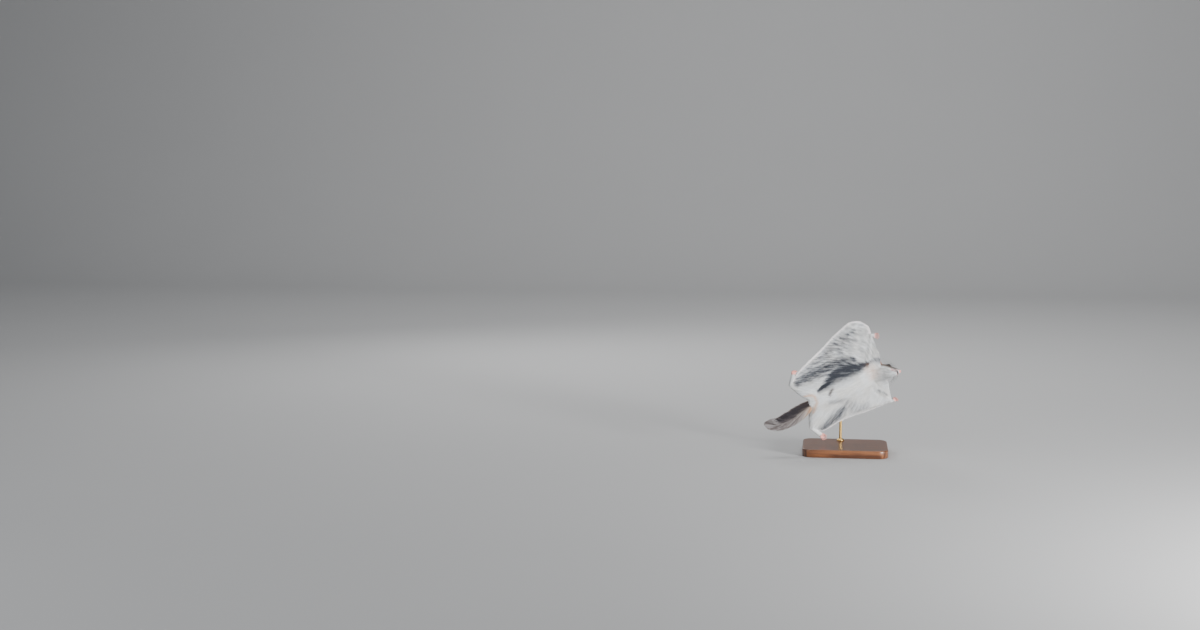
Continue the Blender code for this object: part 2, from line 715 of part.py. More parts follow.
def patch(name, rear, front, root, edge, billow, finish, grow=0.0):
    """A thin cambered sheet between four curves, with the same triangles on both faces."""
    rows, columns = len(root), len(rear)
    grid = np.zeros((rows, columns, 3))
    for i in range(rows):
        s = i / (rows - 1)
        for j in range(columns):
            t = j / (columns - 1)
            flat = (1 - s) * rear[j] + s * front[j] + (1 - t) * root[i] + t * edge[i]
            flat = flat - (1 - s) * (1 - t) * rear[0] - s * t * front[-1]
            flat = flat - (1 - s) * t * rear[-1] - s * (1 - t) * front[0]
            grid[i, j] = flat
            grid[i, j, 2] += billow * math.sin(math.pi * s) * math.sin(math.pi * t)
    along_rows, along_columns = np.gradient(grid, axis=(0, 1))
    normal = np.cross(along_rows, along_columns)
    normal /= np.linalg.norm(normal, axis=2, keepdims=True) + 1e-12
    normal *= np.sign(normal[:, :, 2:3] + 1e-9)
    tops, bottoms = [], []
    for i in range(rows):
        for j in range(columns):
            t = j / (columns - 1)
            half = 0.5 * (MEMBRANE_THICKNESS + (MEMBRANE_EDGE - MEMBRANE_THICKNESS) * t**3)
            if t < 0.5:
                half += 0.5 * MEMBRANE_ROOT * math.exp(-((t / MEMBRANE_FILLET - 1.2) ** 2) / 2)
            half += grow
            tops.append(grid[i, j] + half * normal[i, j])
            bottoms.append(grid[i, j] - half * normal[i, j])
    points = tops + bottoms
    total = rows * columns
    faces = []
    for i in range(rows - 1):
        for j in range(columns - 1):
            a = i * columns + j
            b = a + columns
            for low in (0, total):
                faces.append((low + a, low + a + 1, low + b + 1))
                faces.append((low + a, low + b + 1, low + b))
    border = [j for j in range(columns - 1)]
    border += [columns - 1 + i * columns for i in range(rows - 1)]
    border += [(rows - 1) * columns + j for j in range(columns - 1, 0, -1)]
    border += [i * columns for i in range(rows - 1, 0, -1)]
    for index, spot in enumerate(border):
        after = border[(index + 1) % len(border)]
        faces.append((spot, after, total + after, total + spot))
    return solid(name, points, faces, finish)


def make_wing(side):
    """The main membrane, from the arm and the styliform tip back to the shin."""
    limb = LIMBS[side]
    columns, rows = 13, 19
    tip = [on_side(limb["wing_lead"], side), on_side(limb["wing_tip"], side)]
    front = smooth_path(foreleg_course(side) + tip, columns)
    rear = smooth_path(hindleg_course(side), columns)
    inside = [on_side((x, 9.0, FLANK_HEIGHT), side) for x in (30.0, 55.0, 80.0)]
    root = smooth_path([rear[0], *inside, front[0]], rows)
    outline = [on_side(point, side) for point in limb["wing_edge"]]
    edge = smooth_path([rear[-1], *outline[::-1], front[-1]], rows)
    coat = material("membrane_coat", (0.80, 0.77, 0.72), 0.9)
    wing = patch("wing_" + SIDE_NAMES[side], rear, front, root, edge, BILLOW, coat)
    cutters = [
        make_torso("torso_shape", JOIN_GAP),
        foreleg_tube("arm_shape", side, JOIN_GAP),
        hindleg_tube("leg_shape", side, JOIN_GAP),
        forepaw_body("paw_shape", side, JOIN_GAP),
        hindfoot_body("foot_shape", side, JOIN_GAP),
    ]
    return apply_boolean(wing, "DIFFERENCE", cutters)


def make_fore_web(side):
    """The small membrane ahead of the arm, from the cheek to the wrist."""
    limb = LIMBS[side]
    columns, rows = 10, 6
    wrist = on_side(limb["wrist"], side)
    corner = on_side(limb["neck_corner"], side)
    rear = smooth_path(foreleg_course(side), columns)
    start = np.array((127.0, side * 6.0, 6.5))
    lead = [start, corner, 0.5 * (corner + wrist) + np.array((0.6, 0.0, 0.8))]
    lead.append(wrist + np.array((1.4, -side * 0.6, 0.0)))
    front = smooth_path(lead, columns)
    root = smooth_path([rear[0], 0.5 * (rear[0] + front[0]), front[0]], rows)
    edge = smooth_path([rear[-1], 0.5 * (rear[-1] + front[-1]), front[-1]], rows)
    coat = material("membrane_coat", (0.80, 0.77, 0.72), 0.9)
    web = patch("fore_web_" + SIDE_NAMES[side], rear, front, root, edge, 1.5, coat)
    cutters = [
        make_torso("torso_shape", JOIN_GAP),
        make_neck("neck_shape", JOIN_GAP),
        head_body("head_shape", JOIN_GAP),
        foreleg_tube("arm_shape", side, JOIN_GAP),
        forepaw_body("paw_shape", side, JOIN_GAP),
    ]
    return apply_boolean(web, "DIFFERENCE", cutters)


def tail_spot(share):
    """Centre, directions, half width and half thickness of the tail's coat at a share of its length."""
    course = smooth_path(TAIL_COURSE, 41)
    within = min(share, 1.0) * (len(course) - 1)
    low = min(int(within), len(course) - 2)
    centre = course[low] + (within - low) * (course[low + 1] - course[low])
    behind = unit(course[low + 1] - course[low])
    reach = np.linalg.norm(np.diff(course, axis=0), axis=1).sum()
    centre = centre + max(share - 1.0, 0.0) * reach * behind
    across = unit(np.cross((0, 0, 1), -behind))
    knots = np.linspace(0.0, 1.0, len(TAIL_WIDTHS))
    half_width = np.interp(share, knots, TAIL_WIDTHS)
    height = np.interp(share, knots, TAIL_THICKNESSES)
    return centre, behind, across, np.cross(-behind, across), half_width, height


def tail_lock(name, spots, finish):
    """One flat lock through places given as shares of the tail's length and width, with a lift."""
    path = []
    for share, aside, lift in spots:
        centre, _, across, above, half_width, _ = tail_spot(share)
        path.append(centre + aside * half_width * across + lift * above)
    path = smooth_path(path, 6)
    taper = [math.sin(math.pi * (0.20 + 0.74 * t)) ** 0.8 for t in np.linspace(0.0, 1.0, len(path))]
    widths = [0.5 * LOCK_WIDTH * size for size in taper]
    heights = [0.5 * LOCK_THICKNESS * (0.35 + 0.65 * size) for size in taper]
    return tube(name, path, widths, heights, (0, 0, 1), 4, finish)


def tail_locks(finish):
    """Flat overlapping locks down each side in two layers, along the middle of both faces and at the tip."""
    draw = random.Random(LOCK_SEED)
    locks = []
    for side in (LEFT, RIGHT):
        for index, root in enumerate(np.linspace(*SIDE_LOCK_ROOTS, SIDE_LOCKS)):
            start = root + draw.uniform(-0.006, 0.006)
            reach = SIDE_LOCK_REACH * draw.uniform(0.92, 1.08)
            width = draw.uniform(0.95, 1.06)
            layer = LOCK_LAYER * (1 if index % 2 else -1)
            spots = [(start, side * 0.08, layer)]
            spots.append((start + 0.33 * reach, side * 0.56 * width, layer))
            spots.append((start + 0.66 * reach, side * 0.86 * width, 0.8 * layer))
            spots.append((start + reach, side * width, 0.6 * layer))
            locks.append(tail_lock("side_lock", spots, finish))
    for face in (1, -1):
        for index, root in enumerate(np.linspace(*MIDDLE_LOCK_ROOTS, MIDDLE_LOCKS)):
            lean = MIDDLE_LOCK_LEAN * (1 if index % 2 else -1)
            height = face * 0.75 * tail_spot(root)[5]
            spots = [(root, 0.0, 0.7 * height)]
            spots.append((root + 0.33 * MIDDLE_LOCK_REACH, lean, height))
            spots.append((root + 0.66 * MIDDLE_LOCK_REACH, 1.5 * lean, 1.05 * height))
            spots.append((root + MIDDLE_LOCK_REACH, 2.0 * lean, 1.1 * height))
            locks.append(tail_lock("middle_lock", spots, finish))
    for index in range(TIP_LOCKS):
        aside = 2 * index / (TIP_LOCKS - 1) - 1
        layer = 0.55 * LOCK_LAYER * (1 if index % 2 else -1)
        end = TIP_LOCK_END - 0.05 * aside * aside + draw.uniform(-0.01, 0.01)
        spots = [(TIP_LOCK_ROOT, 0.05 * aside, layer)]
        spots.append((TIP_LOCK_ROOT + 0.08, 0.35 * aside, layer))
        spots.append((TIP_LOCK_ROOT + 0.16, 0.62 * aside, 0.7 * layer))
        spots.append((end, 0.72 * aside, 0.2 * layer))
        locks.append(tail_lock("tip_lock", spots, finish))
    return locks


def make_tail():
    """The tail: a slim core with flat locks down both sides and a loose tip."""
    coat = material("tail_coat", (0.62, 0.54, 0.46), 0.9)
    path, widths, heights = [], [], []
    for share in np.linspace(0.0, TAIL_CORE_END, 14):
        centre, _, _, _, half_width, height = tail_spot(share)
        path.append(centre)
        widths.append(max(TAIL_CORE_SHARE * half_width, 0.9 * TAIL_WIDTHS[0] * (1 - share * 4)))
        heights.append(height * 0.8 * (1 - 0.4 * share))
    tail = tube("tail", path, widths, heights, (0, 0, 1), 12, coat)
    apply_boolean(tail, "UNION", tail_locks(coat))
    cutters = [make_torso("torso_shape", JOIN_GAP)]
    cutters += [hindleg_tube("leg_shape", side, JOIN_GAP) for side in (LEFT, RIGHT)]
    return apply_boolean(tail, "DIFFERENCE", cutters)


def rounded_plate(name, length, depth, thickness, corner, finish):
    """A flat plate with round corners, standing on the floor about the origin."""
    outline = []
    for quarter in range(4):
        turn = math.pi / 2 * quarter
        sign_x = 1 if quarter in (0, 3) else -1
        sign_y = 1 if quarter in (0, 1) else -1
        for step in range(6):
            angle = turn + math.pi / 2 * step / 5
            outline.append(
                (
                    sign_x * (length / 2 - corner) + corner * math.cos(angle),
                    sign_y * (depth / 2 - corner) + corner * math.sin(angle),
                )
            )
    count = len(outline)
    points = [(x, y, 0.0) for x, y in outline] + [(x, y, thickness) for x, y in outline]
    faces = [tuple(range(count)), tuple(range(count, 2 * count))]
    faces += [(i, (i + 1) % count, count + (i + 1) % count, count + i) for i in range(count)]
    return solid(name, points, faces, finish)


def make_base():
    wood = material("stand_wood", (0.32, 0.19, 0.11), 0.45)
    base = rounded_plate("stand_base", BASE_LENGTH, BASE_DEPTH, BASE_THICKNESS, BASE_CORNER, wood)
    rounding = base.modifiers.new("edge", "BEVEL")
    rounding.width = BASE_EDGE * MM
    rounding.segments = 2
    rounding.limit_method = "ANGLE"
    rounding.angle_limit = math.radians(60)
    return base


def in_world(point, pose):
    """A point of the animal's frame, in millimetres, as the empty places it."""
    return np.array(pose.matrix_world @ Vector([MM * value for value in point])) / MM


def make_rod(pose):
    """A bent rod from a ferrule on the base to the back, hidden behind the animal."""
    brass = material("stand_brass", (0.60, 0.46, 0.22), 0.3, 1.0)
    contact = in_world(BACK_CONTACT, pose)
    into = unit(in_world((BACK_CONTACT[0], 0.0, FLANK_HEIGHT), pose) - contact)
    start = np.array((*ROD_FOOT, BASE_THICKNESS + JOIN_GAP))
    rise = np.array((0.0, 0.0, 1.0))
    meet = contact - 12.0 * into
    lead_in = meet - ROD_BEND * into
    knee = np.array((start[0], start[1], lead_in[2] - 6.0))
    course = [start, 0.5 * (start + knee), knee - 0.9 * ROD_BEND * rise, 0.75 * knee + 0.25 * lead_in]
    course += [lead_in, meet, contact, contact + 6.0 * into]
    path = smooth_path(course, 19)
    sizes = [ROD_RADIUS] * len(path)
    rod = tube("stand_rod", path, sizes, sizes, (1, 0, 0), 10, brass)
    torso = make_torso("torso_shape", JOIN_GAP)
    torso.parent = pose
    apply_boolean(rod, "DIFFERENCE", [torso])
    ferrule_rings = []
    steps = ((0.0, FERRULE_RADIUS), (0.4 * FERRULE_HEIGHT, FERRULE_RADIUS))
    for height, radius in (*steps, (FERRULE_HEIGHT, 0.55 * FERRULE_RADIUS)):
        centre = start + height * rise
        ferrule_rings.append(ring(centre, (1, 0, 0), (0, 1, 0), radius, radius, radius, 16))
    return apply_boolean(rod, "UNION", [loft("ferrule", ferrule_rings, brass)])


def make_pose():
    pose = bpy.data.objects.new("glide_pose", None)
    bpy.context.scene.collection.objects.link(pose)
    pose.location = [MM * value for value in TAIL_ROOT_AT]
    pose.rotation_euler = [math.radians(angle) for angle in (-BANK, -NOSE_UP, HEADING)]
    bpy.context.view_layer.update()
    return pose


def main():
    clear_scene()
    animal = [make_torso(), make_neck(), make_head(), make_nose(), make_tail()]
    for side in (LEFT, RIGHT):
        animal.append(eye_ball("eye_" + SIDE_NAMES[side], side))
        animal.append(make_ear(side))
        animal.append(make_foreleg(side))
        animal.append(make_forepaw(side))
        animal.append(make_hindleg(side))
        animal.append(make_hindfoot(side))
        animal.append(make_wing(side))
        animal.append(make_fore_web(side))
    pose = make_pose()
    for piece in animal:
        piece.parent = pose
    bpy.context.view_layer.update()
    make_base()
    make_rod(pose)


main()
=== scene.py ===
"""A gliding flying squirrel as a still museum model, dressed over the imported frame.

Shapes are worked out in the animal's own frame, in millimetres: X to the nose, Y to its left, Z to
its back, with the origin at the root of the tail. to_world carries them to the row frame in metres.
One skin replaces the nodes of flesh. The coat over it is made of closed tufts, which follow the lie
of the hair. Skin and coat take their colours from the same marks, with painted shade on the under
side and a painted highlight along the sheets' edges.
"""

import math

import bpy
import numpy as np
from mathutils import Euler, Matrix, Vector
from mathutils.bvhtree import BVHTree
from mathutils.kdtree import KDTree


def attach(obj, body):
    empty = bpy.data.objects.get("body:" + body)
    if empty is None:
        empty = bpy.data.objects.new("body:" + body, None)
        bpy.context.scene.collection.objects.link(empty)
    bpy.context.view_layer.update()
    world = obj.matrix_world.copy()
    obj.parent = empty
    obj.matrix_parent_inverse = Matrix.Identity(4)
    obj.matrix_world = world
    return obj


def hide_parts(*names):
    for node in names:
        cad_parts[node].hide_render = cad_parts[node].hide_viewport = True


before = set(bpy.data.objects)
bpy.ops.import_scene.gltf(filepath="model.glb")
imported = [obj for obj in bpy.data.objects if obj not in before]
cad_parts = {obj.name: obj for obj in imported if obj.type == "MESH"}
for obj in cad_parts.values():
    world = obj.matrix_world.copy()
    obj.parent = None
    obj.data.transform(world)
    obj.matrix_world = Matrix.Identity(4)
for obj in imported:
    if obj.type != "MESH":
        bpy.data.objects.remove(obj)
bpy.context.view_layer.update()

MM = 0.001
LEFT = 1
RIGHT = -1
SIDE_NAMES = {LEFT: "left", RIGHT: "right"}
UP = np.array((0.0, 0.0, 1.0))

# Pose over the stand, in degrees, and the place of the tail's root in millimetres
HEADING = 11.0
NOSE_UP = 25.0
BANK = 69.3
TAIL_ROOT_AT = np.array((-51.0, -37.5, 93.0))

# Trunk and head: places on the head are given ahead of, beside and above its joint
FLANK_HEIGHT = 9.0
HEAD_AT = np.array((120.0, 3.0, 11.0))
HEAD_DOWN = 31.0
HEAD_TURN = 6.0
NOSE_END = 41.5
MUZZLE = (16.0, 34.0)
MOUTH_HEIGHT = -4.0
MOUTH_CORNER = 28.0
MOUTH_LIFT = 0.9
MOUTH_DEPTH = 1.6
MOUTH_REACH = 9.0
LIP_RISE = 0.25
EYE_AT = (21.8, 8.3, 6.2)
EYE_LOOK = (0.36, 0.80, 0.46)
EYE_RADIUS = 4.7
LID_OPENING = 4.1
LID_WIDTH = 0.62
LID_THICKNESS = 0.24
NOSE_PAD = (2.1, 2.6, 2.0)
NOSTRIL_DEPTH = 1.1
GROOVE_DEPTH = 0.35
EAR_MIDDLE = (6.5, 13.6, 16.4)
HEAD_REACH = 20.0

# Distances from an eye's centre over which the skin stops being bare, the lid's and the ring's tint fade
# and the hair gets longer
LID_BARE = (5.6, 6.2)
LID_TINT = (5.8, 6.4)
RING_TINT = (5.6, 8.2)
EYE_HAIR = (5.4, 9.0)

# Limbs: places with Y counted outwards on both sides, and the sizes of a front and a hind foot
SHOULDER = (104.0, 8.0, 11.0)
HIP = (6.0, 8.0, 10.0)
LIMBS = {
    RIGHT: {
        "shoulder": SHOULDER,
        "hip": HIP,
        "wrist": (135.0, 72.0, 12.5),
        "fingertips": (149.0, 65.5, 7.0),
        "wing_edge": ((138.5, 83.5, 22.0), (128.5, 95.5, 30.5), (115.0, 101.0, 31.5), (88.0, 98.5, 26.0),
                      (40.0, 83.0, 17.0), (-9.0, 67.0, 9.0)),
        "ankle": (-29.0, 55.0, 5.0),
        "toes": (-12.0, 82.5, 2.0),
    },
    LEFT: {
        "shoulder": SHOULDER,
        "hip": HIP,
        "wrist": (127.0, 69.0, 10.0),
        "fingertips": (140.5, 66.0, 4.0),
        "wing_edge": ((129.0, 76.0, 20.0), (123.0, 82.0, 32.0), (111.0, 83.0, 33.0), (92.0, 78.0, 27.0),
                      (30.0, 64.0, 14.5), (-10.0, 62.0, 9.0)),
        "ankle": (-23.5, 49.0, 8.0),
        "toes": (-6.5, 80.5, 6.0),
    },
}
FOREPAW = {
    "heel": 2.0,
    "sole": 6.0,
    "half_widths": (2.7, 3.0, 3.7),
    "half_heights": (2.4, 2.1, 1.7),
    "digits": 4,
    "radius": 0.88,
    "fan": 15.0,
    "arch": 0.13,
}
HINDFOOT = {
    "heel": 2.5,
    "sole": 23.5,
    "half_widths": (3.1, 3.3, 3.9),
    "half_heights": (3.1, 2.5, 1.9),
    "digits": 5,
    "radius": 0.88,
    "fan": 11.0,
    "arch": 0.15,
}
CLAW_LENGTH = 3.0
CLAW_BEND = 1.1
CLAW_DEPTH = 0.62
TOE_SETBACK = 2.0
OUTER_TOE_SHORTER = 0.24
TIP_PAD = (1.3, 1.0, 0.8)
SOLE_PAD = (1.5, 1.2, 1.0)
BETWEEN_FEET = 60.0

# Tail: its course behind the root, half width and half thickness of its coat
TAIL_COURSE = (
    (4.0, 0.0, 9.0),
    (-12.0, 2.0, 7.0),
    (-32.0, 5.0, 4.0),
    (-56.0, 6.0, 0.0),
    (-78.0, 2.5, -3.5),
    (-95.0, -8.5, -5.0),
)
TAIL_WIDTHS = (6.5, 12.5, 17.0, 17.0, 14.5, 9.0)
TAIL_THICKNESSES = (5.5, 5.0, 4.4, 4.0, 3.2, 2.0)
TAIL_CORE_SHARE = 0.24
TAIL_CORE_HEIGHT = 0.55
TAIL_CORE_END = 0.93
TAIL_TIP_END = 1.07

# Stand
BASE_LENGTH = 150.0
BASE_DEPTH = 120.0
BASE_THICKNESS = 14.0
BASE_CORNER = 18.0
BASE_EDGE = 2.0
ROD_RADIUS = 2.5
ROD_FOOT = (-8.0, 40.0)
ROD_BEND = 24.0
FERRULE_RADIUS = 7.0
FERRULE_HEIGHT = 4.0
BACK_CONTACT = (58.0, 9.0, 26.0)
FOOT_GAP = 0.3

# Studio, in metres and degrees: the camera, the lights with their aim, size, power and colour, the floor
CAMERA_AT = (-0.0245, -2.9668, 0.5467)
CAMERA_DOWN = 5.844
CAMERA_TURN = 7.997
CAMERA_LENS = 50.0
CAMERA_SENSOR = 36.0
MODEL_MIDDLE = (0.0, 0.0, 0.13)
NEUTRAL = (1.0, 1.0, 1.0)
LIGHTS = {
    "key": ((1.18, -1.12, 0.20), MODEL_MIDDLE, 0.36, 62.0, NEUTRAL),
    "fill": ((-1.8, -1.9, 0.6), MODEL_MIDDLE, 2.0, 18.0, (0.95, 0.97, 1.0)),
    "top": ((0.1, 0.3, 2.6), MODEL_MIDDLE, 2.4, 32.0, NEUTRAL),
    "rim": ((-0.9, 1.4, 1.1), MODEL_MIDDLE, 0.8, 8.0, NEUTRAL),
    "wall": ((0.0, 1.2, 3.4), (0.0, 4.6, 1.4), 3.0, 70.0, NEUTRAL),
}
SKY_COLOUR = (0.86, 0.90, 0.96, 1.0)
SKY_STRENGTH = 0.22
FLOOR_REACH = 40.0
FLOOR_END = 3.2
WALL_CURVE = 1.5
WALL_TOP = 6.0

# Skin: grain of the first surface, growth of the solids that closes their gaps, rounds of smoothing, and
# the distances over which the filling of creases fades at the face, eyes, ears and feet
VOXEL = 0.48
GROWTH = 0.2
SKIN_TRIANGLES = 190000
RELAX_ROUNDS = 7
CREASE_ROUNDS = 420
SOFT_ROUNDS = 6
MIX_ROUNDS = 10
FACE_KEPT = (10.0, 27.0)
EYE_KEPT = (6.5, 8.0)
EAR_KEPT = (12.0, 16.0)
FOOT_KEPT = (5.0, 9.0)
FOOT_REACH = 40.0
SHEET_START = 30.0

# Coat by part: depth of the skin under it, tufts per square millimetre, length, width and lift of the tip
COAT = {
    "torso": (1.9, 1.9, 7.2, 0.56, 0.10),
    "neck": (1.7, 2.6, 6.0, 0.50, 0.11),
    "head": (0.75, 5.4, 2.8, 0.32, 0.12),
    "nose": (0.0, 0.0, 0.5, 0.2, 0.1),
    "ear": (0.05, 3.2, 1.1, 0.22, 0.14),
    "foreleg": (0.9, 2.4, 4.6, 0.46, 0.11),
    "hindleg": (1.3, 2.2, 5.6, 0.52, 0.11),
    "wing": (0.3, 1.5, 6.6, 0.54, 0.06),
    "web": (0.25, 1.9, 5.0, 0.46, 0.06),
    "foot": (0.05, 3.6, 2.2, 0.30, 0.10),
    "tail": (0.0, 1.5, 5.0, 0.50, 0.20),
}
PARTS = list(COAT)
HEAD_PARTS = ("head", "ear", "nose")

# Clumps, shape and shading of the tufts, and their places on the maps
CLUMP_TUFTS = 10
CLUMP_PULL = 0.26
CLUMP_MOST = 1.6
TUFT_SINK = 0.25
ROUNDING = 0.26
TONE_SPREAD = 0.09
BODY_BANDS = 3
FINE_BANDS = 2
TAIL_BANDS = 4
BAKE_PATCH = 0.003
STRAND_SHIFT = 40.0
CHART_LENGTH = 280.0
CHART_STEP = 90.0
TAIL_LOCKS = 5200
FRINGE_TUFTS = 5200
SEED = 11


def srgb(red, green, blue):
    """A colour given as eight-bit screen values, in linear light."""
    values = np.array((red, green, blue)) / 255.0
    return np.where(values <= 0.04045, values / 12.92, ((values + 0.055) / 1.055) ** 2.4)


# Grey marks of the under side, most of them painted shade: the side of the belly and the right wing,
# which are turned from the light, the fold beside the left arm and the top of the neck are darkened as
# shade would darken them, over the grey bases of the hair. How strong each is, and its places ahead of
# and left of the tail's root with the half width there
PAINTED_SHADE_AND_GREY = {
    "belly": (1.0, ((16, -18, 3), (32, -22, 6), (48, -29, 11), (64, -32, 14), (80, -30, 13), (96, -25, 8),
                    (112, -23, 4))),
    "wing tone": (0.40, ((-8, -55, 14), (25, -60, 24), (58, -66, 30), (84, -74, 27), (106, -84, 18))),
    "wing": (0.74, ((-14, -50, 8), (6, -51, 13), (30, -50, 15), (54, -48, 15), (76, -46, 11), (92, -40, 7))),
    "outer wing": (0.50, ((12, -64, 5), (38, -69, 8), (62, -76, 9), (84, -82, 9), (108, -86, 9))),
    "wrist": (0.55, ((102, -86, 5), (110, -88, 5))),
    "thigh": (0.62, ((-4, 58, 8), (14, 54, 11), (32, 47, 12), (46, 39, 7))),
    "flank": (0.28, ((30, 10, 6), (48, 20, 9), (58, 38, 13), (66, 52, 13), (84, 54, 9))),
    "web": (0.40, ((112, 32, 2), (117, 39, 3), (124, 51, 2))),
    "neck": (0.50, ((118, -25, 4), (127, -23, 6), (136, -18, 6), (145, -10, 4))),
    "ankle": (0.60, ((-14, -60, 3), (-7, -55, 3))),
}
BUFFS = {
    "vent": (0.80, ((-12, -19, 2.0), (-2, -17, 2.6), (6, -9, 2.4), (6, -1, 2.4), (0, 7, 2.8), (-8, 15, 2.4))),
    "throat": (0.40, ((110, -15, 6), (115, -8, 9), (112, 2, 6))),
    "collar": (0.16, ((110, -22, 2.4), (115, -20, 2.6), (118, -15, 2.0))),
}
SHEATH_SPOT = ((31, -3, 1.6), (34, -8, 2.4), (40, -12, 1.8))

# Streaks and folds in the coat: width and length. The folds are grey hair bases in creases of the coat,
# with painted shade in them
FINE_STREAKS = (3.2, 9.0)
BROAD_STREAKS = (7.0, 17.0)
FOLD_STREAKS = (6.0, 16.0)

# Colours
CREAM = srgb(236, 234, 228)
WHITE = srgb(246, 248, 249)
# White of the sheets' free edges: white fringe hair with a painted highlight
RIM_WHITE = srgb(250, 243, 243)
SLATE = srgb(49, 51, 57)
BUFF = srgb(222, 160, 108)
BACK_BROWN = srgb(154, 126, 96)
BACK_GREY = srgb(128, 116, 102)
BACK_BASE = srgb(66, 60, 60)
EDGE_DARK = srgb(54, 46, 42)
FACE_GREY = srgb(150, 138, 124)
EYE_RING = srgb(62, 51, 45)
TAIL_UNDER = srgb(146, 136, 126)
TAIL_OUTER = srgb(100, 91, 90)
# Painted cast shadow on one half of the tail's under side
TAIL_SHADED = srgb(42, 39, 42)
TAIL_TOP = srgb(118, 102, 86)
TAIL_TIP = srgb(74, 70, 70)
PINK = srgb(214, 150, 140)
EAR_SKIN = srgb(170, 128, 114)
MOUTH_RED = srgb(74, 34, 44)
LIP_PALE = srgb(216, 178, 176)
LID_DARK = srgb(52, 42, 38)
NOSE_PINK = srgb(206, 140, 132)
WHISKER_DARK = srgb(34, 28, 26)
CLAW_HORN = srgb(120, 96, 84)
WOOD_DARK = srgb(74, 42, 24)
WOOD_LIGHT = srgb(126, 78, 46)
BRASS = srgb(196, 160, 96)
FLOOR_GREY = (0.50, 0.50, 0.50)
EYE_BLACK = (0.012, 0.008, 0.006, 1.0)

# Depth of the fine relief in all materials, in metres
BUMP_DEPTH = 0.0002


def unit(vectors):
    vectors = np.asarray(vectors, float)
    return vectors / (np.linalg.norm(vectors, axis=-1, keepdims=True) + 1e-12)


def ramp(values, low, high):
    """0 below low, 1 above high, smooth between."""
    t = np.clip((np.asarray(values, float) - low) / (high - low), 0.0, 1.0)
    return t * t * (3 - 2 * t)


def blend(first, second, share):
    share = np.asarray(share)[..., None]
    return (1 - share) * np.asarray(first) + share * np.asarray(second)


def dots(first, second):
    """The dot product of each pair of vectors."""
    return np.einsum("ij,ij->i", first, second)


def along_surface(vectors, normals):
    """The part of each vector that lies along the surface."""
    return vectors - dots(vectors, normals)[:, None] * normals


def mingled(first, second, share):
    """A blend of two colours that looks even to the eye, for hair among hair."""
    return blend(np.sqrt(first), np.sqrt(second), share) ** 2


# Frames: the animal's, the head's and the row's
TURN = np.array(Euler([math.radians(angle) for angle in (-BANK, -NOSE_UP, HEADING)]).to_matrix())


def to_world(points):
    """Points of the animal's frame in millimetres, in the row frame in metres."""
    return MM * (np.asarray(points, float) @ TURN.T + TAIL_ROOT_AT)


def to_animal(points):
    return (np.asarray(points, float) / MM - TAIL_ROOT_AT) @ TURN


def head_axes():
    """Ahead, left and above as the head holds them."""
    down, turn = math.radians(HEAD_DOWN), math.radians(HEAD_TURN)
    ahead = np.array((math.cos(down) * math.cos(turn), math.cos(down) * math.sin(turn), -math.sin(down)))
    left = unit(np.cross(UP, ahead))
    return np.array((ahead, left, np.cross(ahead, left)))


HEAD_AXES = head_axes()


def in_head(point):
    return HEAD_AT + np.asarray(point, float) @ HEAD_AXES


def head_spots(points):
    """Points as distances along, left of and above the head's joint."""
    return (points - HEAD_AT) @ HEAD_AXES.T


def on_side(point, side):
    return np.array((point[0], side * point[1], point[2]), float)


def limb_spot(side, name):
    """A joint or an end of a limb, on its own side of the animal."""
    return on_side(LIMBS[side][name], side)


def feet():
    """The joint, the tips and the sizes of each foot."""
    for side in (LEFT, RIGHT):
        for joint, tips, sizes in (("wrist", "fingertips", FOREPAW), ("ankle", "toes", HINDFOOT)):
            yield limb_spot(side, joint), limb_spot(side, tips), sizes


def eye_centre(side):
    return in_head(on_side(EYE_AT, side))


def gaps_to_eyes(points):
    """Distances from the centre of each eye."""
    return [np.linalg.norm(points - eye_centre(side), axis=1) for side in (LEFT, RIGHT)]


def share_of(weights, *parts):
    """How far each point belongs to any of the given parts."""
    return sum(weights[:, PARTS.index(part)] for part in parts)


# Noise and paths
def noise(points, seed, scale, count=26):
    """Smooth noise with a spread of one, from waves in seeded directions."""
    draw = np.random.default_rng(seed)
    waves = unit(draw.normal(size=(count, 3))) * draw.uniform(0.7, 1.5, (count, 1)) * math.tau / scale
    phases = draw.uniform(0.0, math.tau, count)
    return np.sin(points @ waves.T + phases).sum(axis=1) * math.sqrt(2 / count)


def streaks(points, lies, seed, scale, reach):
    """Noise drawn out along the lie of the hair."""
    total = np.zeros(len(points))
    for step in np.linspace(-0.5, 0.5, 9):
        total += noise(points + step * reach * lies, seed, scale)
    return total / (total.std() + 1e-9)


def near_trail(points, trail):
    """From 1 on a trail of places, seen from above, to 0 well beside it."""
    gap = np.full(len(points), 1e9)
    for x, y, half_width in smooth_path(trail, 24):
        gap = np.minimum(gap, np.hypot(points[:, 0] - x, points[:, 1] - y) / half_width)
    return np.exp(-(gap**2))


def strongest(points, trails, least=0.0):
    """The strongest of several trails at each point."""
    for strength, trail in trails.values():
        least = np.maximum(least, strength * near_trail(points, trail))
    return least


def smooth_path(points, count):
    """Points spread evenly by length on one smooth curve through the given points."""
    points = np.array(points, float)
    reach = np.concatenate(([0.0], np.cumsum(np.linalg.norm(np.diff(points, axis=0), axis=1))))
    slopes = np.gradient(points, reach, axis=0)
    spots = np.linspace(0.0, reach[-1], count)
    left = np.clip(np.searchsorted(reach, spots) - 1, 0, len(reach) - 2)
    width = (reach[left + 1] - reach[left])[:, None]
    t = (spots - reach[left])[:, None] / width
    return (
        (2 * t**3 - 3 * t**2 + 1) * points[left]
        + (t**3 - 2 * t**2 + t) * width * slopes[left]
        + (3 * t**2 - 2 * t**3) * points[left + 1]
        + (t**3 - t**2) * width * slopes[left + 1]
    )


def spread(values, count):
    return np.interp(np.linspace(0, 1, count), np.linspace(0, 1, len(values)), values)


# Closed shapes as arrays of points and triangles
def band_between(low, high, sides):
    """The triangles between two rings, given by the number of each ring's first point."""
    index = np.arange(sides)
    after = (index + 1) % sides
    return [
        np.column_stack((low + index, low + after, high + after)),
        np.column_stack((low + index, high + after, high + index)),
    ]


